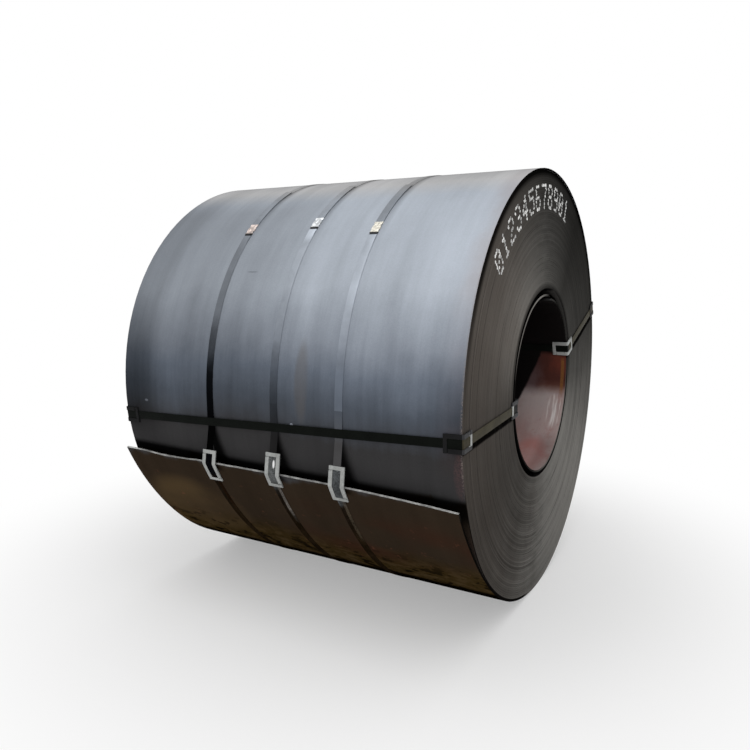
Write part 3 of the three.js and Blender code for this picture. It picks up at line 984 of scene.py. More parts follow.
def protector_mesh(line_length):
    """A pressed sheet with a rail at each side and a tab over the band at each end, drawn
    flat. Each tab is joined to one rail, and the other rail ends short of it."""
    sizes = settings("protectors")
    straps = settings("straps")
    floor = sizes.plate
    under_tab = floor + 2 * CLEARANCE + straps.thickness
    levels = [0.0, floor, under_tab, under_tab + sizes.plate]
    half = sizes.width / 2
    sides = [-half, sizes.rail - half, half - sizes.rail, half]
    rail_length = line_length - sizes.tab - sizes.slit
    marks = {0.0, sizes.tab, sizes.tab + sizes.slit}
    marks |= {rail_length, line_length - sizes.tab, line_length}
    middle = line_length / 2
    fine = [middle + k * FOLD_STEP for k in range(-FOLD_STEPS, FOLD_STEPS + 1)]
    coarse = [line_length * k / SHEET_STEPS for k in range(SHEET_STEPS + 1)]
    marks |= {v for v in coarse + fine if all(abs(v - m) > 0.0011 for m in marks)}
    marks = sorted(marks)
    stations = [0.0, *(b for a, b in zip(marks, marks[1:]) if b - a > CLOSEST)]

    def filled(i, j, k):
        """Whether there is sheet in a cell: along it, across it and through it."""
        if not (0 <= i < len(stations) - 1 and 0 <= j < 3 and 0 <= k < 3):
            return False
        s = (stations[i] + stations[i + 1]) / 2
        if k == 0 or k == 2 and (s < sizes.tab or s > line_length - sizes.tab):
            return True
        return j == 0 and s < rail_length or j == 2 and s > line_length - rail_length

    shape = bmesh.new()
    made = {}

    def corner(i, j, k):
        if (i, j, k) not in made:
            made[i, j, k] = shape.verts.new((stations[i], levels[k], sides[j]))
        return made[i, j, k]

    directions = {
        (1, 0, 0): ((1, 0, 0), (1, 1, 0), (1, 1, 1), (1, 0, 1)),
        (-1, 0, 0): ((0, 0, 0), (0, 0, 1), (0, 1, 1), (0, 1, 0)),
        (0, 1, 0): ((0, 1, 0), (0, 1, 1), (1, 1, 1), (1, 1, 0)),
        (0, -1, 0): ((0, 0, 0), (1, 0, 0), (1, 0, 1), (0, 0, 1)),
        (0, 0, 1): ((0, 0, 1), (1, 0, 1), (1, 1, 1), (0, 1, 1)),
        (0, 0, -1): ((0, 0, 0), (0, 1, 0), (1, 1, 0), (1, 0, 0)),
    }
    for i in range(len(stations) - 1):
        for j in range(3):
            for k in range(3):
                if not filled(i, j, k):
                    continue
                for (di, dj, dk), corners in directions.items():
                    if not filled(i + di, j + dj, k + dk):
                        shape.faces.new([corner(i + a, j + b, k + c) for a, b, c in corners])
    shape.normal_update()
    bmesh.ops.recalc_face_normals(shape, faces=shape.faces)
    sharp = [e for e in shape.edges if e.calc_face_angle(0.0) > 0.5 and e.is_convex]
    kind = {"segments": 2, "affect": "EDGES", "profile": 0.5, "clamp_overlap": True}
    bmesh.ops.bevel(shape, geom=sharp, offset=PRESSED_EDGE, **kind)
    mesh = bpy.data.meshes.new("Protector")
    shape.to_mesh(mesh)
    shape.free()
    return mesh


def add_protector(name, seat, put, material):
    line = rounded(seat, settings("protectors").bend, steps=8)
    mesh = protector_mesh(length_of(line))
    lay(mesh, line)
    piece(f"{name}_detail", mesh, name, material, put, 35)


# ---- The painted count ----

# The dots of each digit, row by row from the top, five to a row.
DIGIT_DOTS = {
    "0": "01110 10001 10011 10101 11001 10001 01110",
    "1": "00100 01100 00100 00100 00100 00100 01110",
    "2": "01110 10001 00001 00110 01000 10000 11111",
    "3": "01110 10001 00001 00110 00001 10001 01110",
    "4": "00010 00110 01010 10010 11111 00010 00010",
    "5": "11111 10000 11110 00001 00001 10001 01110",
    "6": "01110 10000 10000 11110 10001 10001 01110",
    "7": "11111 00001 00010 00010 00100 00100 00100",
    "8": "01110 10001 10001 01110 10001 10001 01110",
    "9": "01110 10001 10001 01111 00001 00001 01110",
}
DIGIT_SQUEEZE = 0.86  # between the columns of dots, over that between the rows
PAINT_START = 0.01  # how far off the end face the dots are before they drop onto it
PAINT_DEPTH = 0.0037  # how far into a gap between turns they may go


def dot_places():
    """The middle of each dot on the near end, as (y, z) from the axis."""
    marking = settings("marking")
    row_step = marking.height / 6
    places = []
    for number, digit in enumerate(marking.digits):
        angle = marking.first - marking.pitch * number
        out = polar(angle, 1.0)
        right = Vector((out.y, -out.x))
        for row, dots in enumerate(DIGIT_DOTS[digit].split()):
            for column, dot in enumerate(dots):
                if dot == "1":
                    radius = marking.radius + (3 - row) * row_step
                    aside = right * (column - 2) * row_step * DIGIT_SQUEEZE
                    places.append(out * radius + aside)
    return places


def dots_tree():
    """Lays a round spot of paint on the end of the coil at each point that it is given."""
    nodes = geometry_nodes("Paint dots")
    points = nodes.input("Places", "Geometry")
    coil = nodes.input("Coil", "Object")
    size, film, start = [nodes.input(name) for name in ("Dot size", "Film", "Start")]
    material = nodes.input("Material", "Material")
    block = {"Size": (1, 1, 1), "Vertices X": 2, "Vertices Y": 7, "Vertices Z": 7}
    dot = nodes.add("GeometryNodeMeshCube", block)
    x, y, z = nodes.separate(nodes.add("GeometryNodeInputPosition"))
    pull = nodes.larger(abs(y), abs(z)) / nodes.larger(nodes.radius(y, z), 0.0001)
    dot = nodes.move(dot, Position=nodes.combine(x, y * pull, z * pull))
    dot = nodes.store(dot, "top", nodes.math("SIGN", x))
    index = nodes.add("GeometryNodeInputIndex")

    def chance(low, high, seed):
        limits = {2: low, 3: high, 7: index, "Seed": seed}
        return nodes.add("FunctionNodeRandomValue", limits, 1, data_type="FLOAT")

    wide = chance(0.82, 1.16, 4) * size
    places = {"Points": points, "Instance": dot, "Scale": nodes.combine(1.0, wide, wide)}
    places["Rotation"] = nodes.combine(chance(0.0, 6.28, 9), 0.0, 0.0)
    dots = nodes.add("GeometryNodeInstanceOnPoints", places)
    dots = nodes.add("GeometryNodeRealizeInstances", {"Geometry": dots})
    x, y, z = nodes.separate(nodes.add("GeometryNodeInputPosition"))
    blur = nodes.wobble(y * 90, z * 90, 0.0).output("Color")
    shift = nodes.separate(nodes.vector("SUBTRACT", blur, (0.5, 0.5, 0.5)))
    y, z = y + shift[0] * size * 0.35, z + shift[1] * size * 0.35
    target = nodes.add("GeometryNodeObjectInfo", {"Object": coil})
    ray = {
        "Target Geometry": target.output("Geometry"),
        "Source Position": nodes.combine(start, y, z),
        "Ray Direction": (-1, 0, 0),
        "Ray Length": 0.1,
    }
    hit = nodes.add("GeometryNodeRaycast", ray, 1)
    surface = nodes.larger(nodes.separate(hit)[0], start - (PAINT_START + PAINT_DEPTH))
    place = nodes.combine(surface + film * nodes.stored("top"), y, z)
    dots = nodes.coat(nodes.move(dots, Position=place), material)
    nodes.put_out("Geometry", dots, "Geometry")
    return nodes.tree


# ---- Shared effects of the finishes ----


def shader_group(write):
    """Turns a function that writes a node group into one that adds the group to a tree and
    gives its outputs. The group is made the first time that it is asked for."""
    name = write.__name__.replace("_", " ").capitalize()

    def add(nodes, **inputs):
        tree = bpy.data.node_groups.get(name)
        if tree is None:
            tree = bpy.data.node_groups.new(name, "ShaderNodeTree")
            write(Nodes(tree))
        inputs = {key.replace("_", " ").capitalize(): value for key, value in inputs.items()}
        node = nodes.add("ShaderNodeGroup", inputs, node_tree=tree).socket.node
        return [Value(nodes, socket) for socket in node.outputs]

    return add


@shader_group
def mottle(nodes):
    """Soft clouds, fine grain and a bump from both."""
    place = nodes.input("Place", "Vector")
    clouds = nodes.noise(place, nodes.input("Cloud scale", default=3.0), 5.0, 0.62)
    grain = nodes.noise(place, nodes.input("Grain scale", default=160.0), 3.0, 0.6)
    nodes.put_out("Clouds", nodes.spread(clouds, 0.3, 0.7))
    nodes.put_out("Grain", nodes.spread(grain, 0.3, 0.7))
    nodes.put_out("Height", clouds * 0.6 + grain * 0.1)


@shader_group
def rolling_streaks(nodes):
    """Streaks drawn out along the first axis of the place, and scratches between them."""
    x, y, z = nodes.separate(nodes.input("Place", "Vector"))
    drawn = nodes.combine(x * nodes.input("Stretch", default=0.02), y, z * 0.4)
    scale = nodes.input("Scale", default=40.0)
    streaks = nodes.noise(drawn, scale, 4.0, 0.65)
    fine = nodes.noise(drawn, scale * 4.0, 3.0, 0.6)
    nodes.put_out("Streaks", nodes.spread(streaks, 0.32, 0.68))
    nodes.put_out("Scratches", nodes.ease(fine, 0.66, 0.74))


@shader_group
def rust_blooms(nodes):
    """Blooms of rust with ragged edges, and specks round them."""
    place = nodes.input("Place", "Vector")
    scale = nodes.input("Scale", default=6.0)
    edge = 0.78 - nodes.input("Amount", default=0.3) * 0.5
    blooms = nodes.noise(place, scale, 8.0, 0.68)
    specks = nodes.noise(place, scale * 9.0, 4.0, 0.6)
    bloom = nodes.spread(blooms, edge, edge + 0.09)
    speck = nodes.spread(specks, edge + 0.08, edge + 0.12)
    nodes.put_out("Rust", nodes.larger(bloom, speck * 0.7))


class Finish(Nodes):
    """A material being written. Its colour starts as one layer, and others cover it."""

    def __init__(self, name, cloud_scale=None, grain_scale=None):
        self.material = bpy.data.materials.new(name)
        self.material.use_nodes = True
        super().__init__(self.material.node_tree)
        self.shader = self.tree.nodes["Principled BSDF"].inputs
        self.place = self.add("ShaderNodeTexCoord").output("Object")
        if cloud_scale:
            scales = {"cloud_scale": cloud_scale, "grain_scale": grain_scale}
            self.clouds, self.grain, self.relief = mottle(self, place=self.place, **scales)

    def attribute(self, name, out):
        return self.add("ShaderNodeAttribute", attribute_name=name).output(out)

    def mark(self, across, up, centre, size):
        """A soft spot round a place."""
        x, y = (across - centre[0]) / size[0], (up - centre[1]) / size[1]
        return self.ease(x * x + y * y, 1.0, 0.3)

    def ramp(self, value, stops):
        """The colours between (place, colour) stops."""
        node = self.add("ShaderNodeValToRGB", {0: value})
        elements = node.socket.node.color_ramp.elements
        for element, (place, rgb) in zip(elements, (stops[0], stops[-1])):
            element.color, element.position = solid(rgb), place
        for place, rgb in stops[1:-1]:
            elements.new(place).color = solid(rgb)
        return node

    def tones(self, value, stops):
        """The numbers between (place, number) stops."""
        greys = [(place, (tone,) * 3) for place, tone in stops]
        return self.separate(self.ramp(value, greys))[0]

    def cover(self, share, colour):
        self.colour = self.mix(share, self.colour, colour)

    def shade(self, tone):
        """Makes the colour lighter or darker."""
        self.colour = self.scaled(self.colour, tone)

    def close(self, roughness, relief, depth, strength=0.4, metallic=None, specular=None):
        """Joins what was written to the shader."""
        bump = {"Height": relief, "Strength": strength, "Distance": depth}
        self.feed(self.shader["Base Color"], self.colour)
        self.feed(self.shader["Roughness"], roughness)
        self.feed(self.shader["Normal"], self.add("ShaderNodeBump", bump))
        for name, value in (("Metallic", metallic), ("Specular IOR Level", specular)):
            if value is not None:
                self.feed(self.shader[name], value)
        return self.material


# ---- The finishes of the strip ----

CREST = 1.75  # where the tables of tones by height end
WRAP_END = 1.25  # where the table of tones by lap ends
MIDDLE_RADIUS = 0.62  # of an end face
# Painted shadow in the gap round the innermost wrap
GAP_SHADE = (0.003, 0.003, 0.003)
SCALE_STOPS = [  # height, colour and its tone; the tone rising with height is painted light, a painted sheen high up and painted shade low down
    (0.0, "grime", 1.0),
    (0.17, "floor_dust", 1.0),
    (0.27, "floor_dust", 0.9),
    (0.36, "grime", 1.0),
    (0.6, "grime", 1.0),
    (0.622, "scale_dark", 1.4),
    (0.76, "scale_dark", 1.25),
    (0.89, "scale_middle", 1.0),
    (0.996, "scale_middle", 1.8),
    (1.101, "scale_blue", 1.0),
    (1.29, "scale_light", 1.0),
    (1.62, "scale_light", 0.95),
    (1.68, "scale_crest", 1.08),
    (1.715, "scale_crest", 0.98),
    (1.745, "scale_crest", 0.68),
]
EDGE_LIGHT = [  # angle and tone of the edges of the turns, as painted light and shade round the end faces
    (-180, 0.078), (-150, 0.062), (-120, 0.075), (-105, 0.108), (-78, 0.18),
    (-45, 0.216), (-25, 0.195), (0, 0.09), (20, 0.053), (58, 0.031),
    (90, 0.062), (135, 0.132), (158, 0.128), (180, 0.078),
]
WRAP_LIGHT = [  # laps from the head and tone of the edge of the loose wrap, as painted light and shade
    (0.0, 0.05), (0.04, 0.01), (0.16, 0.01), (0.3, 0.2), (0.4, 0.15), (0.5, 0.02),
    (0.73, 0.01), (0.82, 0.18), (0.93, 0.25), (0.98, 0.0), (1.25, 0.0),
]
EDGE_RIPPLES = [  # scales along the strip and from lap to lap, seed, detail and reach
    (0.1, 0.6, 0.0, 1.0, 0.12),
    (0.02, 0.16, 3.0, 2.0, 0.1),
    (0.2, 1.9, 5.0, 0.0, 0.06),
]
BAND_SHADOW_LINES = [(FRONT_EYE, 1, 0.044), (BACK_EYE, -1, 0.052)]  # band, its lower side, reach of its painted shadow line on the near end


def scale_tones(look, height):
    """The colours of mill scale from the floor up to the crest of the coil, with a painted sheen
    high up and painted shade low down.
    """
    colours = settings("colours")
    stops = []
    for at, name, tone in SCALE_STOPS:
        stops.append((at / CREST, [c * tone for c in getattr(colours, name)]))
    return look.ramp(look.spread(height, 0.0, CREST), stops)


def skin_finish():
    """Mill scale: light blue-grey above with a painted sheen, dark at the axis as painted shade,
    brown oily dirt and dust below, partly painted shade.
    """
    colours = settings("colours")
    look = Finish("Mill scale", 2.6, 210.0)
    ease, between, vary = look.ease, look.between, look.vary
    clouds, grain = look.clouds, look.grain
    wound = look.attribute("wound", "Vector")
    streaks, scratches = rolling_streaks(look, place=wound, stretch=0.035, scale=9.0)
    [rust] = rust_blooms(look, place=look.place, scale=26.0, amount=0.34)
    _, y, height = look.separate(look.place)
    _, station, lap = look.separate(wound)
    front = ease(y, 0.15, -0.15)
    shift = ((clouds - 0.5) * 0.05 + (streaks - 0.5) * 0.03) * (2.5 - front * 1.5)
    uneven = height + shift * ease(height, 1.7, 1.5)
    look.colour = scale_tones(look, uneven)
    # On the back the lower half takes the oily colour, partly dirt and partly painted shade.
    look.cover(ease(uneven, 0.95, 0.56) * (1 - front), colours.grime)

    def spot(centre, size):
        return look.mark(station, height, centre, size)

    upper = ease(height, 0.9, 1.3)
    # Painted shade: darker away from the near end, darkest at the far end, and darker by the near
    # edge low on the front.
    away = ease(station, 0.35, -0.45) * between(height, 0.8, 1.1, 1.57, 1.71)
    end = ease(station, -0.5, -0.7) * between(height, 0.62, 0.8, 1.6, 1.71)
    near = ease(station, 0.6, 0.7) * between(height, 0.62, 0.8, 0.95, 1.15)
    tone = (1 - away * 0.34) * (1 - end * (0.55 - upper * 0.3)) * (1 - near * 0.25)
    wrapped = look.larger(1 - look.attribute("free", "Fac") * 40, 0.0)
    shade = ease(height + station * 0.02, 0.645, 0.617) * ease(height, 0.5, 0.56)
    # Painted shadows of the round bands on the front: a soft dark wedge beside each between the
    # eye band and the tail, and a thin dark line beside each high up.
    below_eye, high_up = between(height, 0.58, 0.6, 0.78, 0.86), ease(height, 1.4, 1.66)
    band_shadows = 0.0
    for band_station, _, _ in ROUND_BANDS:
        out = station - band_station
        shadow_wedge = ease(out + (height - 0.65) * 0.25, 0.06, 0.02) * ease(out, -0.015, -0.01)
        line = between(out, 0.012, 0.017, 0.02, 0.05) * high_up * 0.4
        band_shadows = band_shadows + shadow_wedge * below_eye + line
    tone = tone * (1 - shade * wrapped * front * 0.92) * (1 - band_shadows * front * 0.85)
    scored = spot((-0.175, 1.342), (0.031, 0.003))
    scraped = spot((-0.632, 0.828), (0.011, 0.006))
    chipped = spot((0.094, 0.805), (0.008, 0.006))
    tone = tone * (1 - scored * front * 0.3) * (1 + (scraped * 2.5 + chipped * 4.0) * front)
    tone = tone * vary(streaks, 0.9, 1.1) * vary(clouds, 0.92, 1.08)
    look.shade(tone * vary(grain, 0.95, 1.05))

    smear = spot((0.137, 0.96), (0.035, 0.17)) * front
    look.cover(smear * vary(streaks, 0.1, 0.45), (0.12, 0.1, 0.08))
    patch = look.wobble(height * 4.0, station * 2.2, 3.0)
    drawn = look.wobble(height * 26.0, station * 10.0, 8.0, 3.0, 0.65)
    dusty = spot((-0.5, 0.37), (0.3, 0.17)) * front * ease(patch, 0.3, 0.6, 0.2, 0.9)
    specks = ease(height, 0.38, 0.2)
    look.cover(look.larger(dusty, specks * ease(drawn, 0.5, 0.4) * 0.6), colours.gold)
    reddish = between(height, 0.22, 0.34, 0.42, 0.56) * ease(patch, 0.35, 0.6)
    look.cover(reddish * ease(station, -0.1, 0.25) * 0.8, (0.045, 0.018, 0.011))
    look.cover(ease(drawn, 0.54, 0.6) * specks * 0.9, (0.004, 0.003, 0.002))
    look.cover(rust * ease(height, 0.6, 0.4) * 0.3, colours.rust)
    # Painted contact shadow: black along the bottom of the coil near the floor, with a ragged
    # top.
    ragged = height - station * 0.012 + drawn * 0.05
    look.shade(1 - ease(ragged, 0.205, 0.18) * 0.95)
    pink = ease(station, 0.64, 0.72) * ease(height, 0.65, 0.8) * look.spread(clouds, 0.2, 0.9)
    look.cover(pink * 0.2, (0.2, 0.13, 0.13))
    scuffed = look.mark(station, height + (clouds - 0.5) * 0.12, (0.735, 0.7), (0.025, 0.075))
    look.cover(scuffed * front * look.spread(grain, 0.2, 0.8, 0.1, 0.4), (0.13, 0.07, 0.07))
    dust = ease(station + (clouds - 0.5) * 0.08, 0.66, 0.74) * front
    look.cover(dust * between(height, 1.15, 1.35, 1.6, 1.69) * 0.45, (0.36, 0.33, 0.335))
    # A light pinkish line along the near edge: partly dust, partly a painted highlight on the
    # edge of the outermost wrap.
    rim = ease(station, 0.738, 0.747) * between(height, 0.6, 0.75, 1.3, 1.6)
    look.cover(rim * ease(grain, 0.3, 0.7) * 0.55, (0.28, 0.24, 0.22))
    laps = total_travel() / math.tau
    outermost = ease(lap, laps - OUTER_LAPS, laps - 1.0)
    # Painted shade in the gaps between turns: the skin of the inner turns is dark, and black on
    # the loose innermost wrap.
    inside = look.mix(ease(lap, 1.3, 1.2), (0.06, 0.057, 0.054), GAP_SHADE)
    look.colour = look.mix(outermost, inside, look.colour)
    metallic = upper * outermost * ease(height, 1.7, 1.58) * 0.3
    roughness = vary(clouds, 0.42, 0.54) + scratches * 0.08
    return look.close(roughness, look.relief, 0.0015, metallic=metallic, specular=0.0)


def edge_finish():
    """The rolled edges of the turns, with painted light and shade: dark where the coil faces up
    and to the back, with painted shade on the outermost turns at the top, round the bore and
    under the tail.
    """
    look = Finish("Rolled edges", 3.4, 190.0)
    ease, spread = look.ease, look.spread
    along, _, lap = look.separate(look.attribute("wound", "Vector"))
    x, y, z = look.separate(look.place)
    rise = z - axis_height()
    radius = look.radius(y, rise)
    sine, cosine = rise / radius, y / radius
    turned = look.math("ARCTAN2", rise, y) / math.tau + 0.5
    light = look.tones(turned, [(degrees / 360 + 0.5, tone) for degrees, tone in EDGE_LIGHT])
    inner = look.larger(MIDDLE_RADIUS - radius, 0.0)
    outer = look.larger(radius - MIDDLE_RADIUS, 0.0)
    # Painted light and shade by radius: lighter towards the bore and darker outwards on the upper
    # half, painted shade on the outermost turns at the top and on the turns round the bore.
    light = light * (1 + look.larger(sine, 0.0) * (inner * 3.0 - outer * 2.1))
    light = light * (1 - ease(radius, 0.828, 0.857) * ease(sine, -0.1, 0.6) * 0.92)
    light = light * (1 - ease(radius, 0.432, 0.396) * ease(sine, -0.3, 0.6) * 0.85)
    # Along the loose innermost wrap its edge takes painted light and shade from its own table
    # instead.
    wraps = [(laps / WRAP_END, tone) for laps, tone in WRAP_LIGHT]
    wrap = look.tones(spread(lap, 0.0, WRAP_END), wraps)
    loose = ease(lap, 1.2, 1.14)
    light = light * (1 - loose) + wrap * loose

    tone = look.vary(look.clouds, 0.88, 1.12)
    for lengthwise, by_lap, seed, detail, reach in EDGE_RIPPLES:
        ripple = look.wobble(along * lengthwise, lap * by_lap, seed, detail)
        tone = tone * spread(ripple, 0.3, 0.7, 1 - reach, 1 + reach)
    low_front = ease(cosine, 0.0, -0.25) * ease(sine, -0.55, -0.75)
    contrast = 0.45 + sine * sine * 0.45 + ease(cosine, 0.65, 0.85) * 0.8 + low_front * 0.9
    tone = 1 + (tone - 1) * contrast
    wavy = look.wobble(y * 8.0, radius * 26.0, 3.0, 2.0, 0.55)
    waved = look.mark(y, abs(rise), (-0.05, 0.63), (0.16, 0.26))
    tone = tone * (1 + spread(wavy, 0.3, 0.7, -0.17, 0.17) * waved)
    # Painted shadows: a dark line along the lower side of each eye band on the near end.
    for eye, side, end in BAND_SHADOW_LINES:
        out, across = eye.on_end(y, rise)
        line = look.between(across * side, 0.014, 0.017, end - 0.009, end)
        tone = tone * (1 - line * (out > 0.0) * (x > 0.0) * 0.95)
    # Painted shade on the near end under the tail.
    tail_shadow = ease(radius, 0.86, 0.864) * ease(sine, -0.2, -0.35) * ease(y, -0.11, -0.19)
    tone = tone * (1 - tail_shadow * 0.94)
    brown = ease(y + look.clouds * 0.25, 0.2, -0.75)
    look.colour = look.mix(brown, settings("colours").rolled_edge, (1.0, 0.875, 0.77))
    look.shade(light * tone)
    return look.close(look.vary(look.grain, 0.55, 0.7), look.relief, 0.0015, specular=0.0)


def bore_finish():
    """Inside the innermost wrap: pinkish scale at the mouths, rust above, with a painted
    highlight near the mouth and black painted shadow further in.
    """
    look = Finish("Bore", 4.0, 180.0)
    ease, between, mark, vary = look.ease, look.between, look.mark, look.vary
    clouds = look.clouds
    wound = look.attribute("wound", "Vector")
    streaks, _ = rolling_streaks(look, place=wound, stretch=0.1, scale=8.0)
    [rust] = rust_blooms(look, place=look.place, scale=9.0, amount=0.5)
    x, _, z = look.separate(look.place)
    rise = z - axis_height() + (clouds - 0.5) * 0.03
    depth = settings("strip").width / 2 - abs(x)
    look.colour = look.scaled(settings("colours").bore, vary(streaks, 0.82, 1.12))
    stained = ease(clouds, 0.45, 0.7) * ease(rise, -0.15, -0.3)
    look.cover(look.larger(rust, stained) * 0.55, (0.4, 0.2, 0.18))
    look.cover(ease(rise, -0.24, -0.12) * ease(depth, 0.02, 0.1) * 0.6, (0.5, 0.45, 0.44))
    # A painted highlight: light streaks on the lower wall near the mouth.
    bars = look.wobble(depth * 90.0, rise * 7.0, 2.0)
    shine = mark(depth, rise, (0.045, -0.17), (0.04, 0.08)) * ease(bars, 0.45, 0.62)
    look.cover(shine * 0.8, (0.85, 0.8, 0.78))
    flush = mark(depth, rise, (0.1, -0.34), (0.09, 0.075))
    look.cover(flush * look.spread(clouds, 0.2, 0.8, 0.5, 1.0) * 0.85, (0.5, 0.22, 0.2))
    look.shade(1 - ease(rise, -0.24, -0.31) * ease(depth, 0.1, 0.05) * 0.33)
    red = look.mix(ease(rise, -0.1, -0.02), (0.17, 0.075, 0.055), (0.08, 0.026, 0.02))
    red = look.mix(ease(depth, 0.1, 0.2), red, (0.06, 0.04, 0.045))
    ragged = look.wobble(depth * 22.0, rise * 14.0, 4.0, 3.0, 0.6)
    inward = depth + (ragged - 0.5) * 0.16
    deep_red = ease(inward, 0.1, 0.03) * ease(rise, -0.03, 0.05) * 0.7
    red = look.mix(deep_red, red, (0.17, 0.042, 0.026))
    dusty_red = ease(inward, 0.09, 0.17) * ease(rise, 0.06, -0.03) * 0.6
    red = look.mix(dusty_red, red, (0.15, 0.095, 0.095))
    look.cover(ease(rise, -0.12, -0.05), red)
    orange = between(depth, 0.013, 0.018, 0.028, 0.033) * between(rise, -0.12, -0.07, 0.06, 0.09)
    look.cover(orange * vary(look.grain, 0.4, 0.9), (0.26, 0.11, 0.03))
    # Painted shadow: black further in, high up and on the second lap.
    shade_past_mouth = ease(rise + (depth - 0.101) * 2.27, 0.12, 0.15)
    shaded_second_lap = ease(look.separate(wound)[2], 1.02, 1.08)
    above = ease(rise, 0.075, 0.105)
    look.cover(look.larger(shade_past_mouth, above, shaded_second_lap), (0.003, 0.002, 0.002))
    return look.close(vary(clouds, 0.5, 0.7), look.relief, 0.0015, 0.5, specular=0.1)


def sheared_finish():
    """A freshly cut end of the strip: bright steel with nicks, darkened high in the bore as
    painted shade.
    """
    look = Finish("Sheared end", 9.0, 260.0)
    x, _, z = look.separate(look.place)
    nick = look.wobble(x * 28.0, z * 28.0, 0.0, 3.0, 0.6)
    tone = look.spread(nick, 0.35, 0.65, 0.45, 1.25) * look.vary(look.clouds, 0.8, 1.1)
    # Painted shade: the cut end high in the bore darkens, most of all deeper in.
    in_bore = look.ease(z, 1.0, 1.1) * (0.8 + look.ease(x, 0.73, 0.7) * 0.19)
    look.colour = look.scaled(settings("colours").sheared, tone * (1 - in_bore))
    return look.close(look.vary(look.grain, 0.35, 0.55), look.grain, 0.001, metallic=0.3)


# ---- The finishes of bands, seals, protectors and paint ----

MOST_TONE = 3.0  # the lightest that a band can be against the scale
SEAL_TINTS = [(0.75, 0.63, 0.58), (0.84, 0.87, 0.9), (0.88, 0.84, 0.73)]
# Each band takes the scale's colours by height, with their painted sheen and shade, times its own
# tones.
BAND_LOOKS = [
    {
        "tones": [(0.6, 0.03), (0.96, 0.04), (1.03, 0.15), (1.1, 0.28), (1.17, 0.44)]
        + [(1.3, 0.4), (1.5, 0.5), (1.6, 0.66), (1.75, 0.75)],
        "above": 1.0,
        "tail": (0.004, 0.004, 0.005),
        "below": (0.016, 0.008, 0.004),
        "shine": 0.0,
        "glint": 0.0,
    },
    {
        "tones": [(0.6, 0.38), (0.82, 0.4), (0.96, 0.5), (1.03, 0.66), (1.1, 0.78)]
        + [(1.3, 0.84), (1.53, 0.88), (1.75, 0.8)],
        "above": 0.82,
        "tail": (0.11, 0.115, 0.115),
        "below": (0.15, 0.135, 0.12),
        "shine": 0.02,
        "glint": 1.0,
    },
    {
        "tones": [(0.6, 2.4), (0.82, 2.4), (0.9, 1.4), (1.0, 1.05), (1.3, 1.08), (1.5, 1.0)]
        + [(1.75, 0.85)],
        "above": 0.6,
        "tail": (0.07, 0.075, 0.078),
        "below": (0.06, 0.047, 0.033),
        "shine": 0.02,
        "glint": 0.0,
    },
]


def past_seal(look, y, height, angle, radius):
    """How far a place lies past the lower end of a seal, along a band round the coil."""
    turned = look.math("ARCTAN2", height - axis_height(), y) - angle
    return turned * radius - settings("straps").seal_length / 2


def band_finish(name, place, tones, above, tail, below, shine, glint):
    """Blued banding: the scale's colours times (height, tone), toned again above the seal, then
    one colour on the tail's protector, up to its top, and one below it, lit on one half as a
    painted highlight; a painted shadow just past the seal, with a painted glint on the free end
    and on the protector."""
    band_station, top, seal_angle = place
    look = Finish(name, 9.0, 240.0)
    ease, between, spread = look.ease, look.between, look.spread
    clouds, grain = look.clouds, look.grain
    station, y, height = look.separate(look.place)
    uneven = height + (clouds - 0.5) * 0.06
    stops = [(at / CREST, tone / MOST_TONE) for at, tone in tones]
    tone = look.tones(spread(uneven, 0.0, CREST), stops) * MOST_TONE
    look.colour = scale_tones(look, height)
    look.shade(tone * look.vary(clouds, 0.85, 1.15))
    past = past_seal(look, y, height, seal_angle, 0.877)
    # Painted glint on the free end, and painted shadow just past the seal.
    free_end = between(past, 0.005, 0.009, 0.03, 0.09) * glint * 0.5
    shadow = between(past, -0.002, 0.0, 0.006, 0.009) * 0.9
    look.shade(ease(past, -0.006, -0.002, above, 1.0) * (1 + free_end) * (1 - shadow))

    shade = spread(grain, 0.2, 0.8, 0.5, 1.5) * spread(clouds, 0.2, 0.8, 0.7, 1.3)
    # Painted glint on the band in the tail's protector.
    shining = look.mark(station, height, (band_station + 0.006, top - 0.04), (0.006, 0.018))
    bare = look.mix(shining * glint, look.scaled(tail, shade), (0.9, 0.9, 0.9))
    front = ease(y, 0.05, -0.05)
    look.cover(ease(height, top + 0.003, top - 0.003) * front, bare)
    # Below the tail's protector: a painted highlight on the right half of the band, dark on the
    # left.
    lit = ease(station, band_station, band_station + 0.005)
    lit = look.mix(lit, (0.012, 0.008, 0.005), below)
    look.cover(ease(uneven, 0.575, 0.52) * front, look.scaled(lit, shade))
    look.cover(ease(uneven, 0.47, 0.37), look.scaled((0.016, 0.01, 0.005), shade))
    gloss = {"specular": ease(height, 0.5, 0.6) * shine}
    gloss["metallic"] = between(height, 0.9, 1.3, 1.58, 1.7) * 0.3
    return look.close(look.vary(grain, 0.34, 0.5), look.relief, 0.0008, **gloss)


def eye_band_finish(name):
    """Waxed banding: one colour over the end faces and in the bore, and on the skin a near-black
    colour painted as shade.
    """
    colours = settings("colours")
    look = Finish(name, 14.0, 240.0)
    x, y, z = look.separate(look.place)
    end = look.ease(abs(x), 0.7485, 0.7505)
    end = end * look.ease(look.radius(y, z - axis_height()), 0.388, 0.392)
    # Near black on the skin as painted shade, olive on the end faces and in the bore.
    look.colour = look.mix(end, colours.black_band, colours.olive_band)
    look.shade(look.vary(look.clouds, 0.75, 1.25))
    return look.close(look.vary(look.grain, 0.45, 0.6), look.relief, 0.0008, specular=0.03)


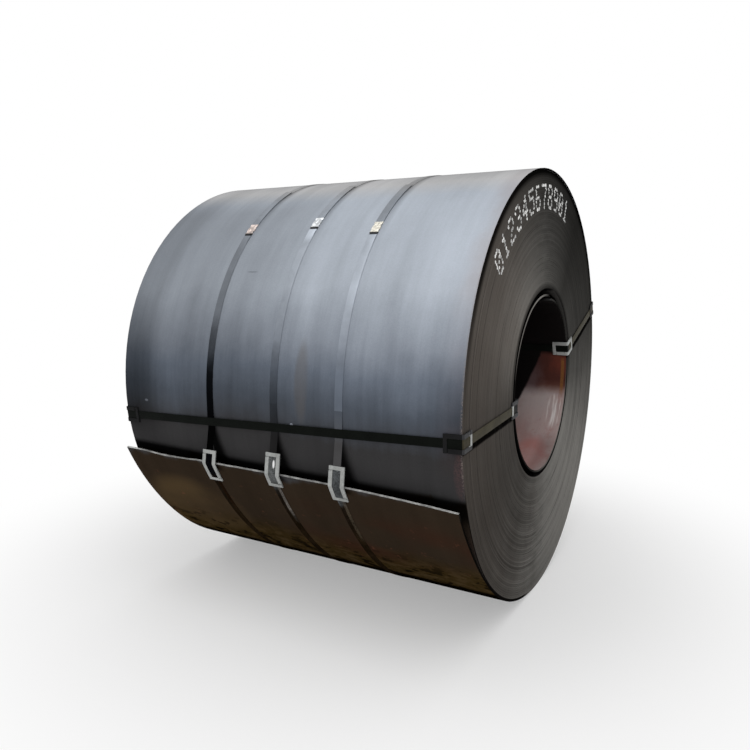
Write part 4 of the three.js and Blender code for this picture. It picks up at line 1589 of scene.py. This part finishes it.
def seal_finish(name, tint, angle=None):
    """Bright plated sleeves, dulled in patches; for one given an angle, a painted shadow at its
    lower end.
    """
    look = Finish(name, 60.0, 500.0)
    tone = look.spread(look.clouds, 0.3, 0.7, 0.55, 1.2)
    if angle is not None:
        _, y, z = look.separate(look.place)
        # Painted shadow at the lower end of the sleeve.
        tone = tone * (1 - look.ease(past_seal(look, y, z, angle, 0.878), -0.007, -0.004) * 0.95)
    look.colour = look.scaled(tint, tone)
    return look.close(look.vary(look.clouds, 0.42, 0.25), look.grain, 0.0005, metallic=0.5)


def zinc_finish(name, dull=False):
    """Galvanised sheet with spangle and rusty specks; if in shade, painted shade all over, darker
    on the outer legs off the near end, darkest at the back and towards the far end, and bright
    only at the ends of the tabs on the end faces, where the band runs out."""
    colours = settings("colours")
    look = Finish(name, 24.0, 420.0)
    [rust] = rust_blooms(look, place=look.place, scale=30.0, amount=0.25)
    spangle = look.add("ShaderNodeTexVoronoi", {"Vector": look.place, "Scale": 260.0})
    crystal = look.separate(spangle.output("Color"))[0]
    look.colour = colours.zinc
    if dull:
        x, y, z = look.separate(look.place)
        rise = z - axis_height()
        middle = 0.0
        for eye in (FRONT_EYE, BACK_EYE):
            out, across = eye.on_end(y, rise)
            middle = middle + look.ease(abs(across), 0.02, 0.017) * (out > 0.0)
        radius = look.radius(y, rise)
        outer = radius > 0.6
        inner_tab = (radius > 0.397) * (radius < 0.6)
        tab = look.larger(look.ease(radius, 0.828, 0.826) * outer, inner_tab)
        tab = tab * (x > 0.0) * (y < 0.0) * look.smaller(middle, 1.0)
        # Painted shade on the legs: darker off the near end, darkest at the back, and towards the
        # far end.
        legs = (1 - outer * (x < 0.7495) * 0.72) * (1 - outer * (y > 0.0) * 0.8)
        look.colour = look.scaled(colours.dull_zinc, legs * (1 - look.ease(x, 0.2, -0.6) * 0.3))
        look.cover(tab, colours.zinc)
    look.shade(look.vary(look.clouds, 0.75, 1.15) * look.vary(crystal, 0.92, 1.08))
    look.cover(rust * 0.4, colours.rust)
    gloss = {"metallic": 0.2, "specular": 0.05}
    return look.close(look.vary(look.clouds, 0.45, 0.6), look.grain, 0.0006, **gloss)


def paint_finish():
    """Sprayed marking paint, thin in places."""
    look = Finish("Marking paint", 70.0, 600.0)
    worn = look.ease(look.clouds, 0.62, 0.4) * 0.75
    look.colour = look.mix(worn, settings("colours").paint, (0.2, 0.2, 0.2))
    return look.close(look.vary(look.grain, 0.6, 0.8), look.grain, 0.0004, 0.5)


# ---- Operators ----


class BuildStrip(bpy.types.Operator):
    """Winds the strip of the coil, with its loose inner wrap and its sprung tail"""

    bl_idname = "coil.build_strip"
    bl_label = "Wind the strip"

    def execute(self, context):
        build_strip()
        return {"FINISHED"}


class BuildRoundBands(bpy.types.Operator):
    """Lays the three bands round the coil"""

    bl_idname = "coil.build_round_bands"
    bl_label = "Round bands"

    def execute(self, context):
        tree = band_tree()
        for number, (station, angle, slip) in enumerate(ROUND_BANDS, 1):
            top = tail_seat(station, slip)[-1].y + axis_height()
            name = f"Round band {number}"
            look = band_finish(name, (station, top, angle), **BAND_LOOKS[number - 1])
            line = round_band_line(station, angle, slip)
            put = partial(onto_round, station=station)
            add_band(tree, f"round_band_{number}", line, look, put)
        return {"FINISHED"}


class BuildEyeBands(bpy.types.Operator):
    """Lays the two bands through the eye of the coil"""

    bl_idname = "coil.build_eye_bands"
    bl_label = "Eye bands"

    def execute(self, context):
        tree = band_tree()
        for eye in (FRONT_EYE, BACK_EYE):
            look = eye_band_finish(f"{eye.side.title()} eye band")
            put = partial(onto_eye, eye=eye)
            add_band(tree, f"{eye.side}_eye_band", eye.band_line(), look, put)
        return {"FINISHED"}


class BuildSeals(bpy.types.Operator):
    """Crimps a sleeve over the joint of each band"""

    bl_idname = "coil.build_seals"
    bl_label = "Seals"

    def execute(self, context):
        straps = settings("straps")
        half = straps.seal_length / 2
        for number, (station, angle, _) in enumerate(ROUND_BANDS, 1):
            ends = angle + turn_of(half), angle - turn_of(half)
            line = along_skin(*ends, CLEARANCE, station, step=0.01)
            look = seal_finish(f"Seal {number}", SEAL_TINTS[number - 1], angle)
            put = partial(onto_round, station=station)
            add_seal(f"round_band_seal_{number}", line, put, look)
        look = seal_finish("Bright seal", settings("colours").seal)
        for eye in (FRONT_EYE, BACK_EYE):
            way = -1 if eye.seal_in_bore else 1
            height = eye.band_line()[0].y
            line = [Vector((eye.seal_station + side * half, height)) for side in (-way, way)]
            add_seal(f"{eye.side}_eye_band_seal", line, partial(onto_eye, eye=eye), look)
        return {"FINISHED"}


class BuildProtectors(bpy.types.Operator):
    """Bends the pressed protectors over the edges of the coil and of its tail"""

    bl_idname = "coil.build_protectors"
    bl_label = "Edge protectors"

    def execute(self, context):
        look = zinc_finish("Galvanised sheet")
        dull = zinc_finish("Dull sheet", dull=True)
        for number, (station, _, slip) in enumerate(ROUND_BANDS, 1):
            put = partial(onto_round, station=station)
            add_protector(f"tail_protector_{number}", tail_seat(station, slip), put, look)
        for eye in (FRONT_EYE, BACK_EYE):
            put = partial(onto_eye, eye=eye)
            for corner, seat in eye.seats().items():
                coat = dull if "outer" in corner or eye is FRONT_EYE else look
                add_protector(f"{eye.side}_protector_{corner}", seat, put, coat)
        return {"FINISHED"}


class BuildMarking(bpy.types.Operator):
    """Paints a row of counting digits on the near end, dot by dot"""

    bl_idname = "coil.build_marking"
    bl_label = "Painted count"

    def execute(self, context):
        marking = settings("marking")
        start = settings("strip").width / 2 + PAINT_START
        height = axis_height()
        places = [(start, place.x, place.y + height) for place in dot_places()]
        points = mesh_from("Dot places", places)
        values = {
            "Coil": bpy.data.objects["strip"],
            "Dot size": marking.dot,
            "Film": marking.film,
            "Start": start,
            "Material": paint_finish(),
        }
        mesh = grown("Dots", dots_tree(), points, values)
        piece("painted_count", mesh, sharp=40)
        return {"FINISHED"}


class BuildStage(bpy.types.Operator):
    """Sets up the floor with its backdrop, the light and the camera"""

    bl_idname = "coil.build_stage"
    bl_label = "Stage"

    def execute(self, context):
        build_floor()
        build_light()
        build_camera()
        return {"FINISHED"}


def build_floor():
    """A floor that keeps the shadow near the coil and turns white towards its rim."""
    segments = 64
    radius = 30.0
    rim = [(*polar(math.tau * k / segments, radius), 0.0) for k in range(segments)]
    mesh = mesh_from("Floor", rim, [tuple(range(segments))])
    look = Finish("Studio floor")
    floor = settings("colours").floor
    fine = look.noise(look.place, 2.0, 3.0)
    look.feed(look.shader["Base Color"], look.mix(fine * 0.05, floor, [c * 0.97 for c in floor]))
    look.feed(look.shader["Roughness"], 0.9)
    away = look.ease(look.vector("LENGTH", look.place, out=1), 1.0, 2.3, 0.35, 1.0)
    white = look.add("ShaderNodeEmission")
    surface = look.add("ShaderNodeMixShader", {0: away * seen_rays(look), 2: white})
    shader, end = (look.tree.nodes[name] for name in ("Principled BSDF", "Material Output"))
    look.tree.links.new(shader.outputs[0], surface.socket.node.inputs[1])
    look.feed(end.inputs["Surface"], surface)
    mesh.materials.append(look.material)
    linked("floor", mesh)


def seen_rays(nodes):
    """One for the rays that show the background: to the camera, off metal or through glass."""
    rays = nodes.add("ShaderNodeLightPath")
    seen = rays.output("Is Camera Ray") + rays.output("Is Glossy Ray")
    return nodes.math("MINIMUM", seen + rays.output("Is Transmission Ray"), 1.0)


def aim(thing, place, direction):
    thing.location = place
    thing.rotation_euler = direction.to_track_quat("-Z", "Y").to_euler()


def build_light():
    world = bpy.data.worlds.new("Studio")
    bpy.context.scene.world = world
    world.use_nodes = True
    nodes = Nodes(world.node_tree)
    background = world.node_tree.nodes["Background"].inputs
    nodes.feed(background["Strength"], nodes.vary(seen_rays(nodes), 0.7, 1.0))
    background["Color"].default_value = (1, 1, 1, 1)
    lamp = bpy.data.lights.new("Overhead", "AREA")
    lamp.shape = "DISK"
    lamp.size = 5.0
    lamp.energy = 75
    place = Vector((0.6, -1.6, 5.5))
    aim(linked("Overhead", lamp), place, Vector((0, 0, 0.9)) - place)


def build_camera():
    camera = bpy.data.cameras.new("Camera")
    camera.lens = 33.3
    camera.sensor_width = camera.sensor_height = 36
    camera.clip_end = 60
    thing = linked("Camera", camera)
    place = (1.551, -2.8126, axis_height() + 0.46842)
    aim(thing, place, Vector((-0.49098, 0.85862, -0.14735)))
    bpy.context.scene.camera = thing
    bpy.context.scene.view_settings.view_transform = "Standard"


OPERATORS = [BuildStrip, BuildRoundBands, BuildEyeBands, BuildSeals, BuildProtectors]
OPERATORS += [BuildMarking, BuildStage]


class CoilPanel(bpy.types.Panel):
    """The pieces of the coil, with their sizes and colours"""

    bl_idname = "VIEW3D_PT_steel_coil"
    bl_label = "Steel coil"
    bl_space_type = "VIEW_3D"
    bl_region_type = "UI"
    bl_category = "Steel coil"

    def draw(self, context):
        for operator in OPERATORS:
            self.layout.operator(operator.bl_idname)
        for name, group in GROUPS.items():
            box = self.layout.box()
            for prop in group.__annotations__:
                box.prop(getattr(context.scene, name), prop)


def register():
    for kind in (*GROUPS.values(), *OPERATORS, CoilPanel):
        bpy.utils.register_class(kind)
    for name, group in GROUPS.items():
        setattr(bpy.types.Scene, name, PointerProperty(type=group))


def unregister():
    for name in GROUPS:
        delattr(bpy.types.Scene, name)
    for kind in reversed((*GROUPS.values(), *OPERATORS, CoilPanel)):
        bpy.utils.unregister_class(kind)


def main():
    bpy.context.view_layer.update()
    register()
    bpy.ops.coil.build_strip()
    bpy.ops.coil.build_round_bands()
    bpy.ops.coil.build_eye_bands()
    bpy.ops.coil.build_seals()
    bpy.ops.coil.build_protectors()
    bpy.ops.coil.build_marking()
    bpy.ops.coil.build_stage()


if __name__ == "__main__":
    main()
